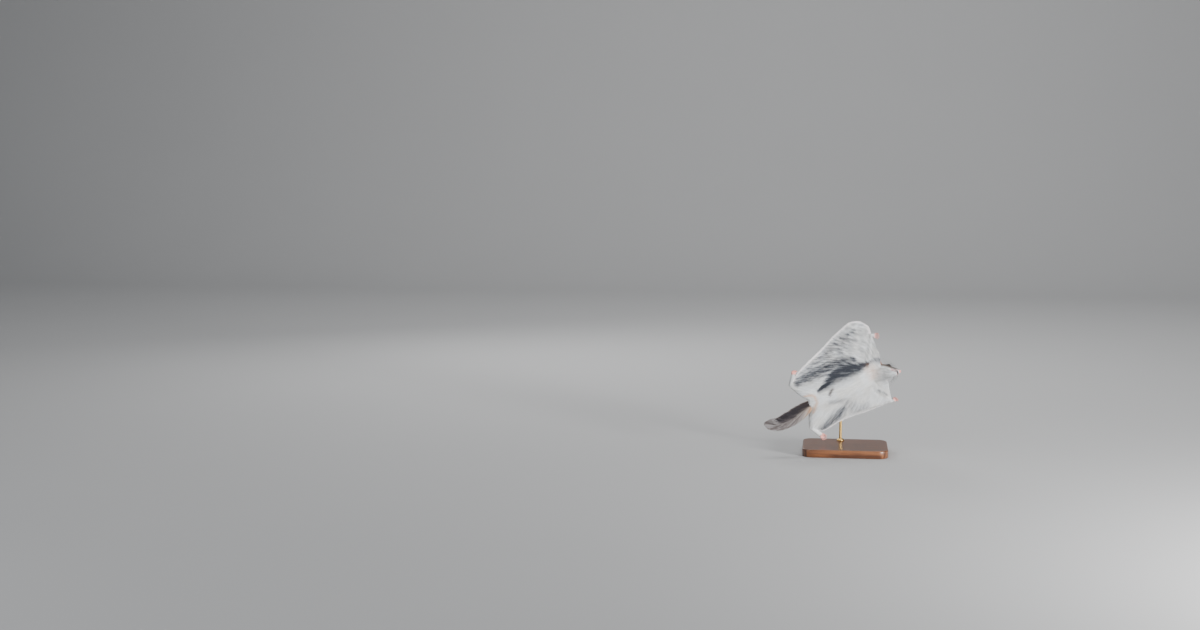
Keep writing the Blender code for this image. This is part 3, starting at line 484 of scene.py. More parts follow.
def loft(rings):
    """Triangles round rings of equal count, with a fan over each end."""
    rings = np.asarray(rings, float)
    rows, sides = rings.shape[:2]
    points = np.vstack([rings.reshape(-1, 3), rings[0].mean(axis=0), rings[-1].mean(axis=0)])
    triangles = []
    for row in range(rows - 1):
        triangles += band_between(row * sides, (row + 1) * sides, sides)
    index = np.arange(sides)
    after = (index + 1) % sides
    last = (rows - 1) * sides
    triangles.append(np.column_stack((after, index, np.full(sides, rows * sides))))
    triangles.append(np.column_stack((last + index, last + after, np.full(sides, rows * sides + 1))))
    return outward(points, np.vstack(triangles))


def hoop(rings):
    """Triangles round rings that close on themselves."""
    rings = np.asarray(rings)
    rows, sides = rings.shape[:2]
    triangles = []
    for row in range(rows):
        triangles += band_between(row * sides, (row + 1) % rows * sides, sides)
    return outward(rings.reshape(-1, 3), np.vstack(triangles))


def outward(points, triangles):
    """The same closed shape with its triangles turned outwards."""
    a, b, c = (points[triangles[:, corner]] for corner in range(3))
    volume = dots(a, np.cross(b, c)).sum()
    return points, triangles if volume > 0 else triangles[:, ::-1]


def tube(path, widths, heights, up, sides):
    """A closed round body along a path, wide across it and high towards up."""
    path = np.asarray(path, float)
    along = np.gradient(path, axis=0)
    across = unit(np.cross(up, along))
    above = unit(np.cross(along, across))
    angles = math.tau * np.arange(sides) / sides
    widths, heights = np.asarray(widths)[:, None, None], np.asarray(heights)[:, None, None]
    rings = path[:, None] + np.cos(angles)[None, :, None] * widths * across[:, None]
    rings = rings + np.sin(angles)[None, :, None] * heights * above[:, None]
    return loft(rings)


def ball(centre, radii, axes, rows=12, sides=18):
    """A closed egg shape with its poles along the first axis."""
    ahead, across, above = (unit(axis) for axis in axes)
    rings = []
    for angle in np.linspace(0.04, math.pi - 0.04, rows):
        turns = math.tau * np.arange(sides) / sides
        middle = np.asarray(centre) - math.cos(angle) * radii[0] * ahead
        size = math.sin(angle)
        spots = middle + size * radii[1] * np.cos(turns)[:, None] * across
        rings.append(spots + size * radii[2] * np.sin(turns)[:, None] * above)
    return loft(rings)


def merged(shapes):
    """Several shapes as one list of points and one of triangles, with the shape of each triangle."""
    points, triangles, owners, start = [], [], [], 0
    for number, (spots, faces) in enumerate(shapes):
        points.append(spots)
        triangles.append(faces + start)
        owners.append(np.full(len(faces), number))
        start += len(spots)
    return np.vstack(points), np.vstack(triangles), np.concatenate(owners)


# Objects
def new_object(name, points, triangles, finish=None):
    """An object straight from arrays, in the units of the arrays."""
    mesh = bpy.data.meshes.new(name)
    mesh.vertices.add(len(points))
    mesh.vertices.foreach_set("co", np.asarray(points, np.float32).ravel())
    mesh.loops.add(triangles.size)
    mesh.loops.foreach_set("vertex_index", np.asarray(triangles, np.int32).ravel())
    mesh.polygons.add(len(triangles))
    mesh.polygons.foreach_set("loop_start", np.arange(0, triangles.size, 3, dtype=np.int32))
    mesh.update(calc_edges=True)
    mesh.shade_smooth()
    if finish:
        mesh.materials.append(finish)
    made = bpy.data.objects.new(name, mesh)
    bpy.context.scene.collection.objects.link(made)
    return made


def piece(name, points, triangles, finish, slot, *nodes):
    """A piece of the model, given in metres in the row frame, in place of the named nodes."""
    made = new_object(name, points, triangles, finish)
    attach(made, "root")
    if nodes:
        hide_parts(*nodes)
    return made


def add_colours(mesh, colours):
    """Stores a colour at each vertex, where the materials of skin and coat look for it."""
    tint = mesh.color_attributes.new("coat", "FLOAT_COLOR", "POINT")
    flat = np.ones((len(mesh.vertices), 4), np.float32)
    flat[:, :3] = colours.reshape(-1, 3)
    tint.data.foreach_set("color", flat.ravel())


def read_mesh(mesh):
    mesh.calc_loop_triangles()
    points = np.empty(len(mesh.vertices) * 3, np.float32)
    mesh.vertices.foreach_get("co", points)
    triangles = np.empty(len(mesh.loop_triangles) * 3, np.int32)
    mesh.loop_triangles.foreach_get("vertices", triangles)
    return points.reshape(-1, 3).astype(float), triangles.reshape(-1, 3)


def welded(points, triangles):
    """The same shape with points that share a place made one."""
    keys = np.round(points, 4)
    _, first, back = np.unique(keys, axis=0, return_index=True, return_inverse=True)
    triangles = back.reshape(-1)[triangles]
    keep = (triangles[:, 0] != triangles[:, 1]) & (triangles[:, 1] != triangles[:, 2])
    keep &= triangles[:, 0] != triangles[:, 2]
    return points[first], triangles[keep]


def face_normals(points, triangles):
    a, b, c = (points[triangles[:, corner]] for corner in range(3))
    return np.cross(b - a, c - a)


def point_normals(points, triangles):
    normals = face_normals(points, triangles)
    total = np.zeros_like(points)
    for corner in range(3):
        for axis in range(3):
            total[:, axis] += np.bincount(triangles[:, corner], normals[:, axis], len(points))
    return unit(total)


def edges_of(triangles):
    pairs = np.vstack([triangles[:, [0, 1]], triangles[:, [1, 2]], triangles[:, [2, 0]]])
    return np.unique(np.sort(pairs, axis=1), axis=0)


def averaged(values, edges):
    """Each point's values averaged over its neighbours."""
    count = len(values)
    total = np.zeros_like(values)
    for axis in range(values.shape[1]):
        total[:, axis] = np.bincount(edges[:, 0], values[edges[:, 1], axis], count)
        total[:, axis] += np.bincount(edges[:, 1], values[edges[:, 0], axis], count)
    number = np.bincount(edges.ravel(), minlength=count)[:, None]
    return total / np.maximum(number, 1)


def relaxed(points, edges):
    """Smooths a surface without shrinking it, by steps in and out."""
    for _ in range(RELAX_ROUNDS):
        points = points + 0.50 * (averaged(points, edges) - points)
        points = points - 0.52 * (averaged(points, edges) - points)
    return points


def filled(points, triangles, edges):
    """Fills the creases between limbs, sheets and trunk, and leaves the face, ears and feet as they are."""
    spots = head_spots(points)
    soft = 1 - ramp(spots[:, 0], *FACE_KEPT) * (np.abs(spots[:, 1]) < HEAD_REACH)
    for gap in gaps_to_eyes(points):
        soft *= ramp(gap, *EYE_KEPT)
    ears = [in_head(on_side(EAR_MIDDLE, side)) for side in (LEFT, RIGHT)]
    soft *= ramp(np.minimum(*[np.linalg.norm(points - ear, axis=1) for ear in ears]), *EAR_KEPT)
    for joint, tips, _ in feet():
        ahead = unit(tips - joint)
        inner = np.clip((points - joint) @ ahead, 0, FOOT_REACH)[:, None] * ahead
        soft *= ramp(np.linalg.norm(points - joint - inner, axis=1), *FOOT_KEPT)
    for _ in range(CREASE_ROUNDS):
        normals = point_normals(points, triangles)
        step = averaged(points, edges) - points
        rise = dots(step, normals)
        flat = step - rise[:, None] * normals
        points = points + 0.5 * flat + (soft * np.maximum(rise, 0.0) * 0.9)[:, None] * normals
    return points


def modified(made, kind, **settings):
    """The mesh of an object after one modifier, and the object removed."""
    step = made.modifiers.new("step", kind)
    for name, value in settings.items():
        setattr(step, name, value)
    graph = bpy.context.evaluated_depsgraph_get()
    mesh = bpy.data.meshes.new_from_object(made.evaluated_get(graph))
    points, triangles = read_mesh(mesh)
    bpy.data.objects.remove(made, do_unlink=True)
    bpy.data.meshes.remove(mesh)
    return points, triangles


# Feet
def digit_shapes(foot, reach, ball_at, axes, s):
    """One toe with the pads under its tip and its root, and its claw; s is -1 to 1 across the foot."""
    ahead, left, above = axes
    radius, half_width, half_height = foot["radius"], foot["half_widths"][-1], foot["half_heights"][-1]
    angle = math.radians(foot["fan"]) * s
    out = math.cos(angle) * ahead + math.sin(angle) * left
    root = ball_at - TOE_SETBACK * ahead + (half_width - radius) * s * left
    reach = reach * (1.0 - OUTER_TOE_SHORTER * s * s) + TOE_SETBACK
    t = np.linspace(0.0, 1.0, 8)
    arch = foot["arch"] * (np.sin(math.pi * t) - 1.5 * t * t)
    toe = root + reach * (t[:, None] * out + arch[:, None] * above)
    sizes = radius * (0.94 + 0.10 * np.sin(4 * math.pi * t)) * np.sqrt(np.clip(1.35 - t**6, 0.3, 1))
    tip_pad = ball(toe[-1] - 0.5 * out - 0.35 * radius * above, TIP_PAD, (out, left, above))
    pad_at = ball_at - 0.4 * ahead + 0.72 * s * half_width * left
    sole_pad = ball(pad_at - 0.8 * half_height * above, SOLE_PAD, (out, left, above))
    base = toe[-1] - 0.9 * out + 0.25 * radius * above
    bend = CLAW_BEND * np.linspace(0.0, 1.0, 9)
    hook = np.sin(bend)[:, None] * out - (1 - np.cos(bend))[:, None] * above
    depth = CLAW_DEPTH * radius * (1 - 0.9 * np.linspace(0.0, 1.0, 9))
    claw = tube(base + CLAW_LENGTH / CLAW_BEND * hook, CLAW_DEPTH * depth, depth, above, 10)
    return [tube(toe, sizes, sizes, above, 12), tip_pad, sole_pad], claw


def foot_shapes(joint, tips, foot):
    """The sole, toes and pads of one foot as closed shapes, and its claws."""
    ahead = unit(tips - joint)
    above = unit(UP - ahead[2] * ahead)
    axes = ahead, np.cross(above, ahead), above
    ball_at = joint + foot["sole"] * ahead
    path = smooth_path([joint - foot["heel"] * ahead, joint, ball_at], 8)
    path = np.vstack([path, ball_at + 1.2 * ahead])
    widths = np.append(spread(foot["half_widths"], 8), 0.7 * foot["half_widths"][-1])
    heights = np.append(spread(foot["half_heights"], 8), 0.65 * foot["half_heights"][-1])
    flesh, claws = [tube(path, widths, heights, above, 16)], []
    reach = np.linalg.norm(tips - joint) - foot["sole"] - 0.75 * CLAW_LENGTH
    for index in range(foot["digits"]):
        shapes, claw = digit_shapes(foot, reach, ball_at, axes, 2 * index / (foot["digits"] - 1) - 1)
        flesh += shapes
        claws.append(claw)
    return flesh, claws


# Tail
def tail_spots(shares):
    """Centre, behind, across, above, half width and half thickness of the tail's coat."""
    shares = np.asarray(shares, float)
    course = smooth_path(TAIL_COURSE, 81)
    within = np.clip(shares, 0.0, 1.0) * (len(course) - 1)
    low = np.minimum(within.astype(int), len(course) - 2)
    ahead = course[low + 1] - course[low]
    behind = unit(ahead)
    reach = np.linalg.norm(np.diff(course, axis=0), axis=1).sum()
    centre = course[low] + (within - low)[:, None] * ahead
    centre = centre + np.maximum(shares - 1.0, 0.0)[:, None] * reach * behind
    across = unit(np.cross(UP, -behind))
    knots = np.linspace(0.0, 1.0, len(TAIL_WIDTHS))
    half_width = np.interp(shares, knots, TAIL_WIDTHS)
    height = np.interp(shares, knots, TAIL_THICKNESSES)
    return centre, behind, across, np.cross(-behind, across), half_width, height


def tail_core():
    shares = np.linspace(0.0, TAIL_CORE_END, 40)
    centre, _, _, _, half_width, height = tail_spots(shares)
    widths = np.maximum(TAIL_CORE_SHARE * half_width, 0.85 * TAIL_WIDTHS[0] * (1 - 4 * shares))
    heights = height * TAIL_CORE_HEIGHT * (1 - 0.5 * shares)
    return tube(centre, widths, heights, UP, 16)


# Skin
def part_of(node):
    """The kind of coat that a node carries."""
    for part, starts in (("web", "fore_web"), ("foot", "forepaw"), ("foot", "hindfoot")):
        if node.startswith(starts):
            return part
    return node.rsplit("_", 1)[0]


FLESH_NODES = ["torso", "neck", "head"]
for side_name in SIDE_NAMES.values():
    FLESH_NODES += [name + side_name for name in ("ear_", "foreleg_", "hindleg_", "wing_", "fore_web_")]
FOOT_NODES = ["forepaw_left", "forepaw_right", "hindfoot_left", "hindfoot_right"]


def flesh_shapes():
    """The closed shapes that the skin goes round, the kind of each, and the claws."""
    shapes, kinds, claws = [], [], []
    for node in FLESH_NODES:
        points, triangles = read_mesh(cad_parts[node].data)
        points, triangles = welded(to_animal(points), triangles)
        points = points + GROWTH * point_normals(points, triangles)
        shapes.append((points, triangles))
        kinds.append(part_of(node))
    for joint, tips, foot in feet():
        flesh, hooks = foot_shapes(joint, tips, foot)
        shapes += flesh
        kinds += ["foot"] * len(flesh)
        claws += hooks
    shapes.append(tail_core())
    kinds.append("tail")
    return shapes, kinds, claws


def build_skin(shapes, kinds):
    """One surface round all the flesh, with the number of the part that each point belongs to."""
    whole, faces, owners = merged(shapes)
    lump = new_object("flesh", whole, faces)
    points, triangles = modified(lump, "REMESH", mode="VOXEL", voxel_size=VOXEL, adaptivity=0.0)
    lump = new_object("flesh", relaxed(points, edges_of(triangles)), triangles)
    share = min(SKIN_TRIANGLES / len(triangles), 1.0)
    points, triangles = modified(lump, "DECIMATE", ratio=share, use_collapse_triangulate=True)
    points = filled(points, triangles, edges_of(triangles))
    tree = BVHTree.FromPolygons(whole.tolist(), faces.tolist())
    nearest = np.array([tree.find_nearest(spot)[2] for spot in points.tolist()])
    numbers = np.array([PARTS.index(kind) for kind in kinds])
    return points, triangles, numbers[owners[nearest]]


class Skin:
    """The finished surface, drawn in by the coat's depth, with what the coat needs to know at each point."""

    def __init__(self, points, triangles, parts):
        self.triangles = triangles
        edges = edges_of(triangles)
        weights = np.zeros((len(points), len(PARTS)))
        weights[np.arange(len(points)), parts] = 1.0
        for _ in range(MIX_ROUNDS):
            weights = 0.5 * weights + 0.5 * averaged(weights, edges)
        self.weights = weights
        depth = weights @ np.array([COAT[part][0] for part in PARTS])
        depth = depth * (1.0 - 0.6 * ramp(head_spots(points)[:, 0], *MUZZLE))
        depth = depth + GROWTH * (1 - share_of(weights, "foot") - share_of(weights, "tail"))
        self.points = points - depth[:, None] * point_normals(points, triangles)
        inside, lips = mouth_parts(self.points)
        carve = MOUTH_DEPTH * inside - LIP_RISE * lips
        self.points = self.points - carve[:, None] * point_normals(self.points, triangles)
        soft = point_normals(self.points, triangles)
        for _ in range(SOFT_ROUNDS):
            soft = unit(0.4 * soft + 0.6 * averaged(soft, edges))
        self.soft_normals = soft
        self.areas = 0.5 * np.linalg.norm(face_normals(self.points, triangles), axis=1)
        self.edge_gap = edge_gap(self.points)
        # The sheets' free edges, painted lighter: white fringe hair with a painted highlight
        self.rim = self.near_edge(1.8, 4.6)

    def near_edge(self, low, high):
        """From 1 at the free edge of a sheet to 0 well inside it, and 0 off the sheets."""
        sheet = share_of(self.weights, "wing", "web")
        return sheet * (1 - ramp(self.edge_gap, low, high)) * (np.abs(self.points[:, 1]) > SHEET_START)

    def scatter(self, count_each, draw):
        """Random spots on the surface, as a function that gives the value of anything at them."""
        shares = np.cumsum(self.areas * count_each)
        number = int(shares[-1])
        picks = (np.arange(number) + draw.uniform(0.0, 1.0, number)) * shares[-1] / number
        chosen = np.minimum(np.searchsorted(shares, picks), len(self.areas) - 1)
        u, v = draw.uniform(size=(2, number))
        over = u + v > 1
        u[over], v[over] = 1 - u[over], 1 - v[over]
        corners = np.column_stack((1 - u - v, u, v))
        return lambda values: np.einsum("nc,nc...->n...", corners, values[self.triangles[chosen]])


def run_of(left, start, end):
    """The way from start to end of a limb, taken on the side of each point."""
    return np.where(left, *[unit(limb_spot(side, end) - limb_spot(side, start)) for side in (LEFT, RIGHT)])


def lie_of(points, normals, weights):
    """The way the hair lies, along the surface."""
    left = points[:, 1:2] >= 0
    out = np.where(left, 1.0, -1.0) * (0.0, 1.0, 0.0)
    back = np.array((-1.0, 0.0, 0.0))
    outwards = 0.35 + 0.8 * ramp(points[:, :1], 30.0, 110.0) + 0.5 * (points[:, 1:2] > 0)
    outwards = outwards * np.clip(np.abs(points[:, 1:2]) / 30.0, 0.0, 1.0)
    fore, hind = run_of(left, "wrist", "fingertips"), run_of(left, "ankle", "toes")
    lies = {
        "torso": back + 0.12 * out,
        "neck": 0.5 * back - HEAD_AXES[0],
        "head": -HEAD_AXES[0] + 0.10 * out,
        "nose": -HEAD_AXES[0],
        "ear": HEAD_AXES[2] - 0.3 * HEAD_AXES[0] + 0.5 * out,
        "foreleg": run_of(left, "shoulder", "wrist") + 0.55 * back,
        "hindleg": run_of(left, "hip", "ankle") + 0.55 * back,
        "wing": back + outwards * out,
        "web": 0.3 * back + 0.9 * out,
        "foot": np.where(points[:, :1] > BETWEEN_FEET, fore, hind),
        "tail": back + 0.3 * out,
    }
    mixed = np.zeros_like(points)
    for number, part in enumerate(PARTS):
        mixed += weights[:, number, None] * unit(lies[part])
    return unit(along_surface(mixed, normals))


def sheet_up(points):
    """The way that the back of a sheet faces, also where a wing tip curls up."""
    aside = -np.sign(points[:, 1]) * 0.75 * ramp(np.abs(points[:, 1]), 50.0, 70.0)
    return unit(np.column_stack((np.zeros(len(points)), aside, np.ones(len(points)))))


def upper_side(points, normals):
    """From -1 where the surface faces down to 1 where it faces up as the back does."""
    return dots(normals, sheet_up(points))


# Markings and painted shade
def mouth_parts(points):
    """How far each point is inside the mouth, and on the lips beside it."""
    along, aside, above = head_spots(points).T
    front = np.clip((along - MOUTH_CORNER) / (NOSE_END - MOUTH_CORNER - 3.0), 0.0, 1.0)
    line = MOUTH_HEIGHT + MOUTH_LIFT * (1 - front)
    gap = 0.45 + 0.80 * front
    off = np.abs(above - line)
    here = ramp(along, MOUTH_CORNER - 0.8, MOUTH_CORNER + 0.6) * (np.abs(aside) < MOUTH_REACH)
    here = here * (1 - ramp(along, NOSE_END - 2.4, NOSE_END - 1.4))
    inside = here * (1 - ramp(off, gap, gap + 0.5))
    lips = here * (1 - ramp(off, gap + 0.6, gap + 1.5)) * (1 - inside)
    return inside, lips


def bare_share(points, normals, weights):
    """Where the skin is bare: nose, mouth, lids, inside of the ears, and toes."""
    inside, lips = mouth_parts(points)
    nose = ramp(head_spots(points)[:, 0], NOSE_END - 0.6, NOSE_END + 0.4) * (share_of(weights, "head") > 0.3)
    eyes = 1 - ramp(np.minimum(*gaps_to_eyes(points)), *LID_BARE)
    facing = unit(HEAD_AXES[0] * 0.72 + np.where(points[:, 1:2] >= 0, 1, -1) * HEAD_AXES[1] * 0.62)
    ears = share_of(weights, "ear") * ramp(dots(normals, facing), -0.1, 0.3)
    reach = np.zeros(len(points))
    for joint, tips, foot in feet():
        near = np.linalg.norm(points - 0.5 * (joint + tips), axis=1) < 0.75 * np.linalg.norm(tips - joint)
        reach = np.where(near, (points - joint) @ unit(tips - joint) / foot["sole"], reach)
    toes = share_of(weights, "foot") * ramp(reach, 0.80, 0.98)
    return np.clip(np.maximum.reduce([inside, 0.9 * lips, nose, eyes, ears, toes]), 0.0, 1.0)


def under_colours(points, normals, fine, broad, wing, rim):
    """Colour of the hair on the under side with its painted shade, and how dark its grey marks and painted
    shade are.
    """
    x, y, _ = points.T
    along, aside, _ = head_spots(points).T
    # Painted shade: darker towards the right side, which is turned from the light, and on the head, over the
    # grey bases of the hair
    dark = 0.05 + 0.14 * ramp(-y, 10.0, 34.0) + 0.15 * ramp(along, -2.0, 20.0) * (np.abs(aside) < 22)
    # The painted highlight at the sheets' free edges takes the shade away
    dark = strongest(points, PAINTED_SHADE_AND_GREY, dark) * (1 - rim)
    uneven = (0.05 + 0.17 * ramp(dark, 0.10, 0.45)) * np.tanh(0.8 * (0.75 * fine + 0.65 * broad))
    # Folds across the right wing: grey hair bases with painted shade in the creases
    outwards = np.tile(unit((-0.3, -1.0, 0.0)), (len(points), 1))
    folds = np.tanh(streaks(points, outwards, SEED + 6, *FOLD_STREAKS))
    uneven = uneven + 0.10 * folds * wing * ramp(-y, 26.0, 46.0) * ramp(x, 36.0, 66.0)
    under = blend(CREAM, WHITE, 0.5 + 0.35 * np.tanh(noise(points, SEED + 3, 24.0)))
    under = mingled(under, SLATE, np.clip(1.12 * dark + uneven, 0.0, 0.97))
    under = mingled(under, EDGE_DARK, 0.85 * near_trail(points, SHEATH_SPOT) * (normals[:, 2] < 0))
    warm = strongest(points, BUFFS) * (0.85 + 0.15 * np.tanh(fine))
    under = blend(under, BUFF, np.clip(warm, 0.0, 0.9))
    # The sheets' free edges whitened: white fringe hair with a painted highlight
    return blend(under, RIM_WHITE, 0.8 * rim), dark


def back_colours(points, fine, broad, wing, head, rim):
    """Colour of the hair on the upper side and the face."""
    over = blend(BACK_BROWN, BACK_GREY, 0.5 + 0.4 * np.tanh(0.8 * broad))
    over = blend(over, BACK_BASE, 0.35 * ramp(fine, 0.3, 2.2))
    over = blend(over, EDGE_DARK, 0.55 * wing * ramp(np.abs(points[:, 1]), 24.0, 60.0))
    over = blend(over, FACE_GREY, ramp(head, 0.4, 0.9) * ramp(head_spots(points)[:, 0], 10.0, 26.0))
    over = blend(over, CREAM, 0.85 * ramp(rim, 0.70, 0.96))
    for gap in gaps_to_eyes(points):
        over = blend(over, EYE_RING, 0.9 * (1 - ramp(gap, *RING_TINT)) * (head > 0.3))
    return over


def markings_and_painted_shade(points, normals, weights, lies, rim):
    """Colour of the coat's tips and of its bases, with the painted shade of the under side, in linear light.
    """
    fine = streaks(points, lies, SEED + 1, *FINE_STREAKS)
    broad = streaks(points, lies, SEED + 2, *BROAD_STREAKS)
    wing = share_of(weights, "wing", "web")
    head = share_of(weights, "head") + 0.5 * share_of(weights, "neck")
    turned = 0.25 * (1 - ramp(points[:, 0], -12.0, 15.0))
    upper = ramp(upper_side(points, normals) - turned, 0.0, 0.5)
    upper = np.where(head > 0.5, ramp(head_spots(points)[:, 2], -3.5, 1.5), upper)
    under, dark = under_colours(points, normals, fine, broad, wing, rim)
    tips = blend(under, back_colours(points, fine, broad, wing, head, rim), upper)
    bases = blend(blend(0.88 * under, SLATE, 0.04 + 0.36 * dark), BACK_BASE, upper)
    tips = blend(tips, WHITE, 0.75 * share_of(weights, "foot") * (1 - upper))
    tail_tint = blend(TAIL_UNDER, TAIL_TOP, ramp(normals[:, 2], -0.2, 0.2))
    tail = ramp(share_of(weights, "tail"), 0.2, 0.8)
    return blend(tips, tail_tint, tail), blend(bases, 0.5 * tail_tint, tail)


def skin_colours(skin):
    """The skin's own colour at each point: hair bases where the coat grows, flesh where it is bare."""
    lies = lie_of(skin.points, skin.soft_normals, skin.weights)
    tips, bases = markings_and_painted_shade(skin.points, skin.soft_normals, skin.weights, lies, skin.rim)
    inside, lips = mouth_parts(skin.points)
    flesh = np.tile(PINK, (len(skin.points), 1))
    flesh = blend(flesh, EAR_SKIN, share_of(skin.weights, "ear"))
    flesh = blend(flesh, LIP_PALE, lips)
    flesh = blend(flesh, MOUTH_RED, inside)
    for gap in gaps_to_eyes(skin.points):
        flesh = blend(flesh, EYE_RING, 1 - ramp(gap, *LID_TINT))
    bare = bare_share(skin.points, skin.soft_normals, skin.weights)
    return blend(blend(bases, tips, 0.45), flesh, bare)


# Coat
def rolled_out(points, start, end):
    """Distances along and round an axis."""
    ahead = unit(end - start)
    across = unit(np.cross(UP, ahead))
    above = np.cross(ahead, across)
    off = points - start
    aside, high = off @ across, off @ above
    return np.column_stack((off @ ahead, np.arctan2(high, aside) * np.hypot(aside, high).mean()))


def coat_uv(points, normals, weights):
    """Each root's place on an unwrap: body and sheets laid flat by side, head and limbs rolled out."""
    over = upper_side(points, normals) > 0
    places = points[:, :2] + np.where(over, CHART_LENGTH, 0.0)[:, None] * np.array((1.0, 0.0))
    names = np.array(PARTS)[np.argmax(weights, axis=1)]
    fore = points[:, 0] > BETWEEN_FEET
    charts = [(np.isin(names, HEAD_PARTS), HEAD_AT, in_head((NOSE_END, 0.0, 0.0)))]
    for side in (LEFT, RIGHT):
        here = points[:, 1] * side > 0
        for mask, start, end in (
            (names == "foreleg", "shoulder", "wrist"),
            (names == "hindleg", "hip", "ankle"),
            ((names == "foot") & fore, "wrist", "fingertips"),
            ((names == "foot") & ~fore, "ankle", "toes"),
        ):
            charts.append((here & mask, limb_spot(side, start), limb_spot(side, end)))
    for number, (mask, start, end) in enumerate(charts):
        if mask.any():
            places[mask] = rolled_out(points[mask], start, end) + (CHART_STEP * number, CHART_LENGTH)
    return places


def unit_square(places):
    low, high = places.min(axis=0), places.max(axis=0)
    return 0.01 + 0.98 * (places - low) / (high - low + 1e-9)


def tuft_faces(bands):
    """The triangles of one closed tuft, and the ring point that each of its vertices stands on.

    Each ring has a left, a right and a raised point. The flat side next to the skin has vertices of
    its own, so that it is shaded apart from the two others.
    """
    tip = 3 * bands
    raised, flat = [(0, 2, 1)], []
    for band in range(bands - 1):
        low, high = 3 * band, 3 * band + 3
        for a, b in ((0, 1), (1, 2), (2, 0)):
            faces = flat if b == 1 else raised
            faces.append((low + a, low + b, high + b))
            faces.append((low + a, high + b, high + a))
    last = tip - 3
    flat.append((last, last + 1, tip))
    raised += [(last + 1, last + 2, tip), (last + 2, last, tip)]
    repeated = [point for point in range(tip + 1) if point % 3 != 2]
    own = {point: tip + 1 + number for number, point in enumerate(repeated)}
    flat = [tuple(own[point] for point in face) for face in flat]
    return np.array(raised + flat), np.array(list(range(tip + 1)) + repeated)


def clear_of_skin(points, normals, tree, least):
    """The same points, moved out where the skin rises in front of a tuft in a crease."""
    found = [tree.find_nearest(spot) for spot in points.tolist()]
    spots = np.array([spot[:] for spot, _, _, _ in found])
    ways = np.array([way[:] for _, way, _, _ in found])
    short = np.maximum(least - dots(points - spots, ways), 0.0) * (dots(ways, normals) > 0.2)
    return points + short[:, None] * ways


def grow_tufts(roots, normals, lies, lengths, widths, lifts, pulls, bands, tree=None):
    """The points of tufts that lie along the skin: rings of three points and one tip each."""
    sides = unit(np.cross(normals, lies))
    points = np.empty((len(roots), 3 * bands + 1, 3))
    lengths, widths, lifts = lengths[:, None], widths[:, None], lifts[:, None]
    for band in range(bands + 1):
        t = band / bands
        rise = lengths * lifts * (1.5 * t - 0.6 * t * t) - TUFT_SINK * (1 - t)
        centre = roots + lengths * t * lies + rise * normals + pulls * t * t
        if tree and band:
            centre = clear_of_skin(centre, normals, tree, 0.08 + 0.25 * t)
        size = widths * (0.72 + 0.9 * t - 1.25 * t * t)
        set_ring(points, band, bands, centre, 0.5 * size * sides, 0.28 * size * normals)
    return points


def set_ring(points, band, bands, centre, aside, above):
    """Puts in the three points of one ring of each tuft, or its tip after the last ring."""
    if band == bands:
        points[:, -1] = centre
        return
    points[:, 3 * band] = centre - aside
    points[:, 3 * band + 1] = centre + aside
    points[:, 3 * band + 2] = centre + above


def soften(mesh, faces, sources, normals, sides):
    """Gives each tuft the shading of the surface it lies on, a little rounded across."""
    corners, tip = faces.ravel(), sources.max()
    tilt = np.array((-ROUNDING, ROUNDING, 0.0))[sources % 3] * (sources < tip)
    way = np.where(corners > tip, -1.0, 1.0)
    shading = way[None, :, None] * normals[:, None] + tilt[corners][None, :, None] * sides[:, None]
    shading = unit(shading) @ TURN.T
    layer = mesh.attributes.new("custom_normal", "FLOAT_VECTOR", "CORNER")
    layer.data.foreach_set("vector", np.asarray(shading, np.float32).ravel())


def coat_piece(name, slot, finish, draw, points, colours, places, normals, lies):
    """Joins tufts into one piece with their colours, the baking map and the map of the strands."""
    count, bands = len(points), points.shape[1] // 3
    tips, bases = colours
    faces, sources = tuft_faces(bands)
    tone = draw.normal(1.0, TONE_SPREAD, (count, 1, 1))
    stage = np.minimum(sources // 3, bands) / bands
    share = (0.15 + 0.85 * stage**0.7)[None, :, None]
    tints = ((1 - share) * bases[:, None] + share * tips[:, None]) * tone
    triangles = (faces[None] + len(sources) * np.arange(count)[:, None, None]).reshape(-1, 3)
    mesh = piece(name, to_world(points[:, sources].reshape(-1, 3)), triangles, finish, slot).data
    add_colours(mesh, np.clip(tints, 0.0, 1.0))
    aside = np.where(sources < 3 * bands, np.array((0.0, 1.0, 0.5))[sources % 3], 0.5)
    strand = np.tile(np.column_stack((aside, stage)), (count, 1, 1))
    patch = unit_square(places)[:, None] + BAKE_PATCH * (strand - 0.5)
    strand = strand + draw.uniform(0.0, STRAND_SHIFT, (count, 1, 1)).round() * (1.0, 0.0)
    for label, layer in (("OFBake", patch), ("strand", strand)):
        uv = mesh.uv_layers.new(name=label)
        values = layer.reshape(-1, 2)[triangles.ravel()]
        uv.data.foreach_set("uv", np.asarray(values, np.float32).ravel())
    mesh.uv_layers["OFBake"].active_render = True
    soften(mesh, faces, sources, normals, unit(np.cross(normals, lies)))


def clump_pulls(roots, normals, draw):
    """How far each tuft's tip is drawn towards the middle of its clump, and the number of the clump."""
    leaders = draw.permutation(len(roots))[: len(roots) // CLUMP_TUFTS]
    tree = KDTree(len(leaders))
    for number, spot in enumerate(roots[leaders]):
        tree.insert(spot, number)
    tree.balance()
    found = [tree.find(spot) for spot in roots]
    middles = np.array([spot for spot, _, _ in found])
    numbers = np.array([number for _, number, _ in found])
    pulls = along_surface(CLUMP_PULL * (middles - roots), normals)
    size = np.linalg.norm(pulls, axis=1, keepdims=True)
    return pulls * np.minimum(1.0, CLUMP_MOST / (size + 1e-6)), numbers


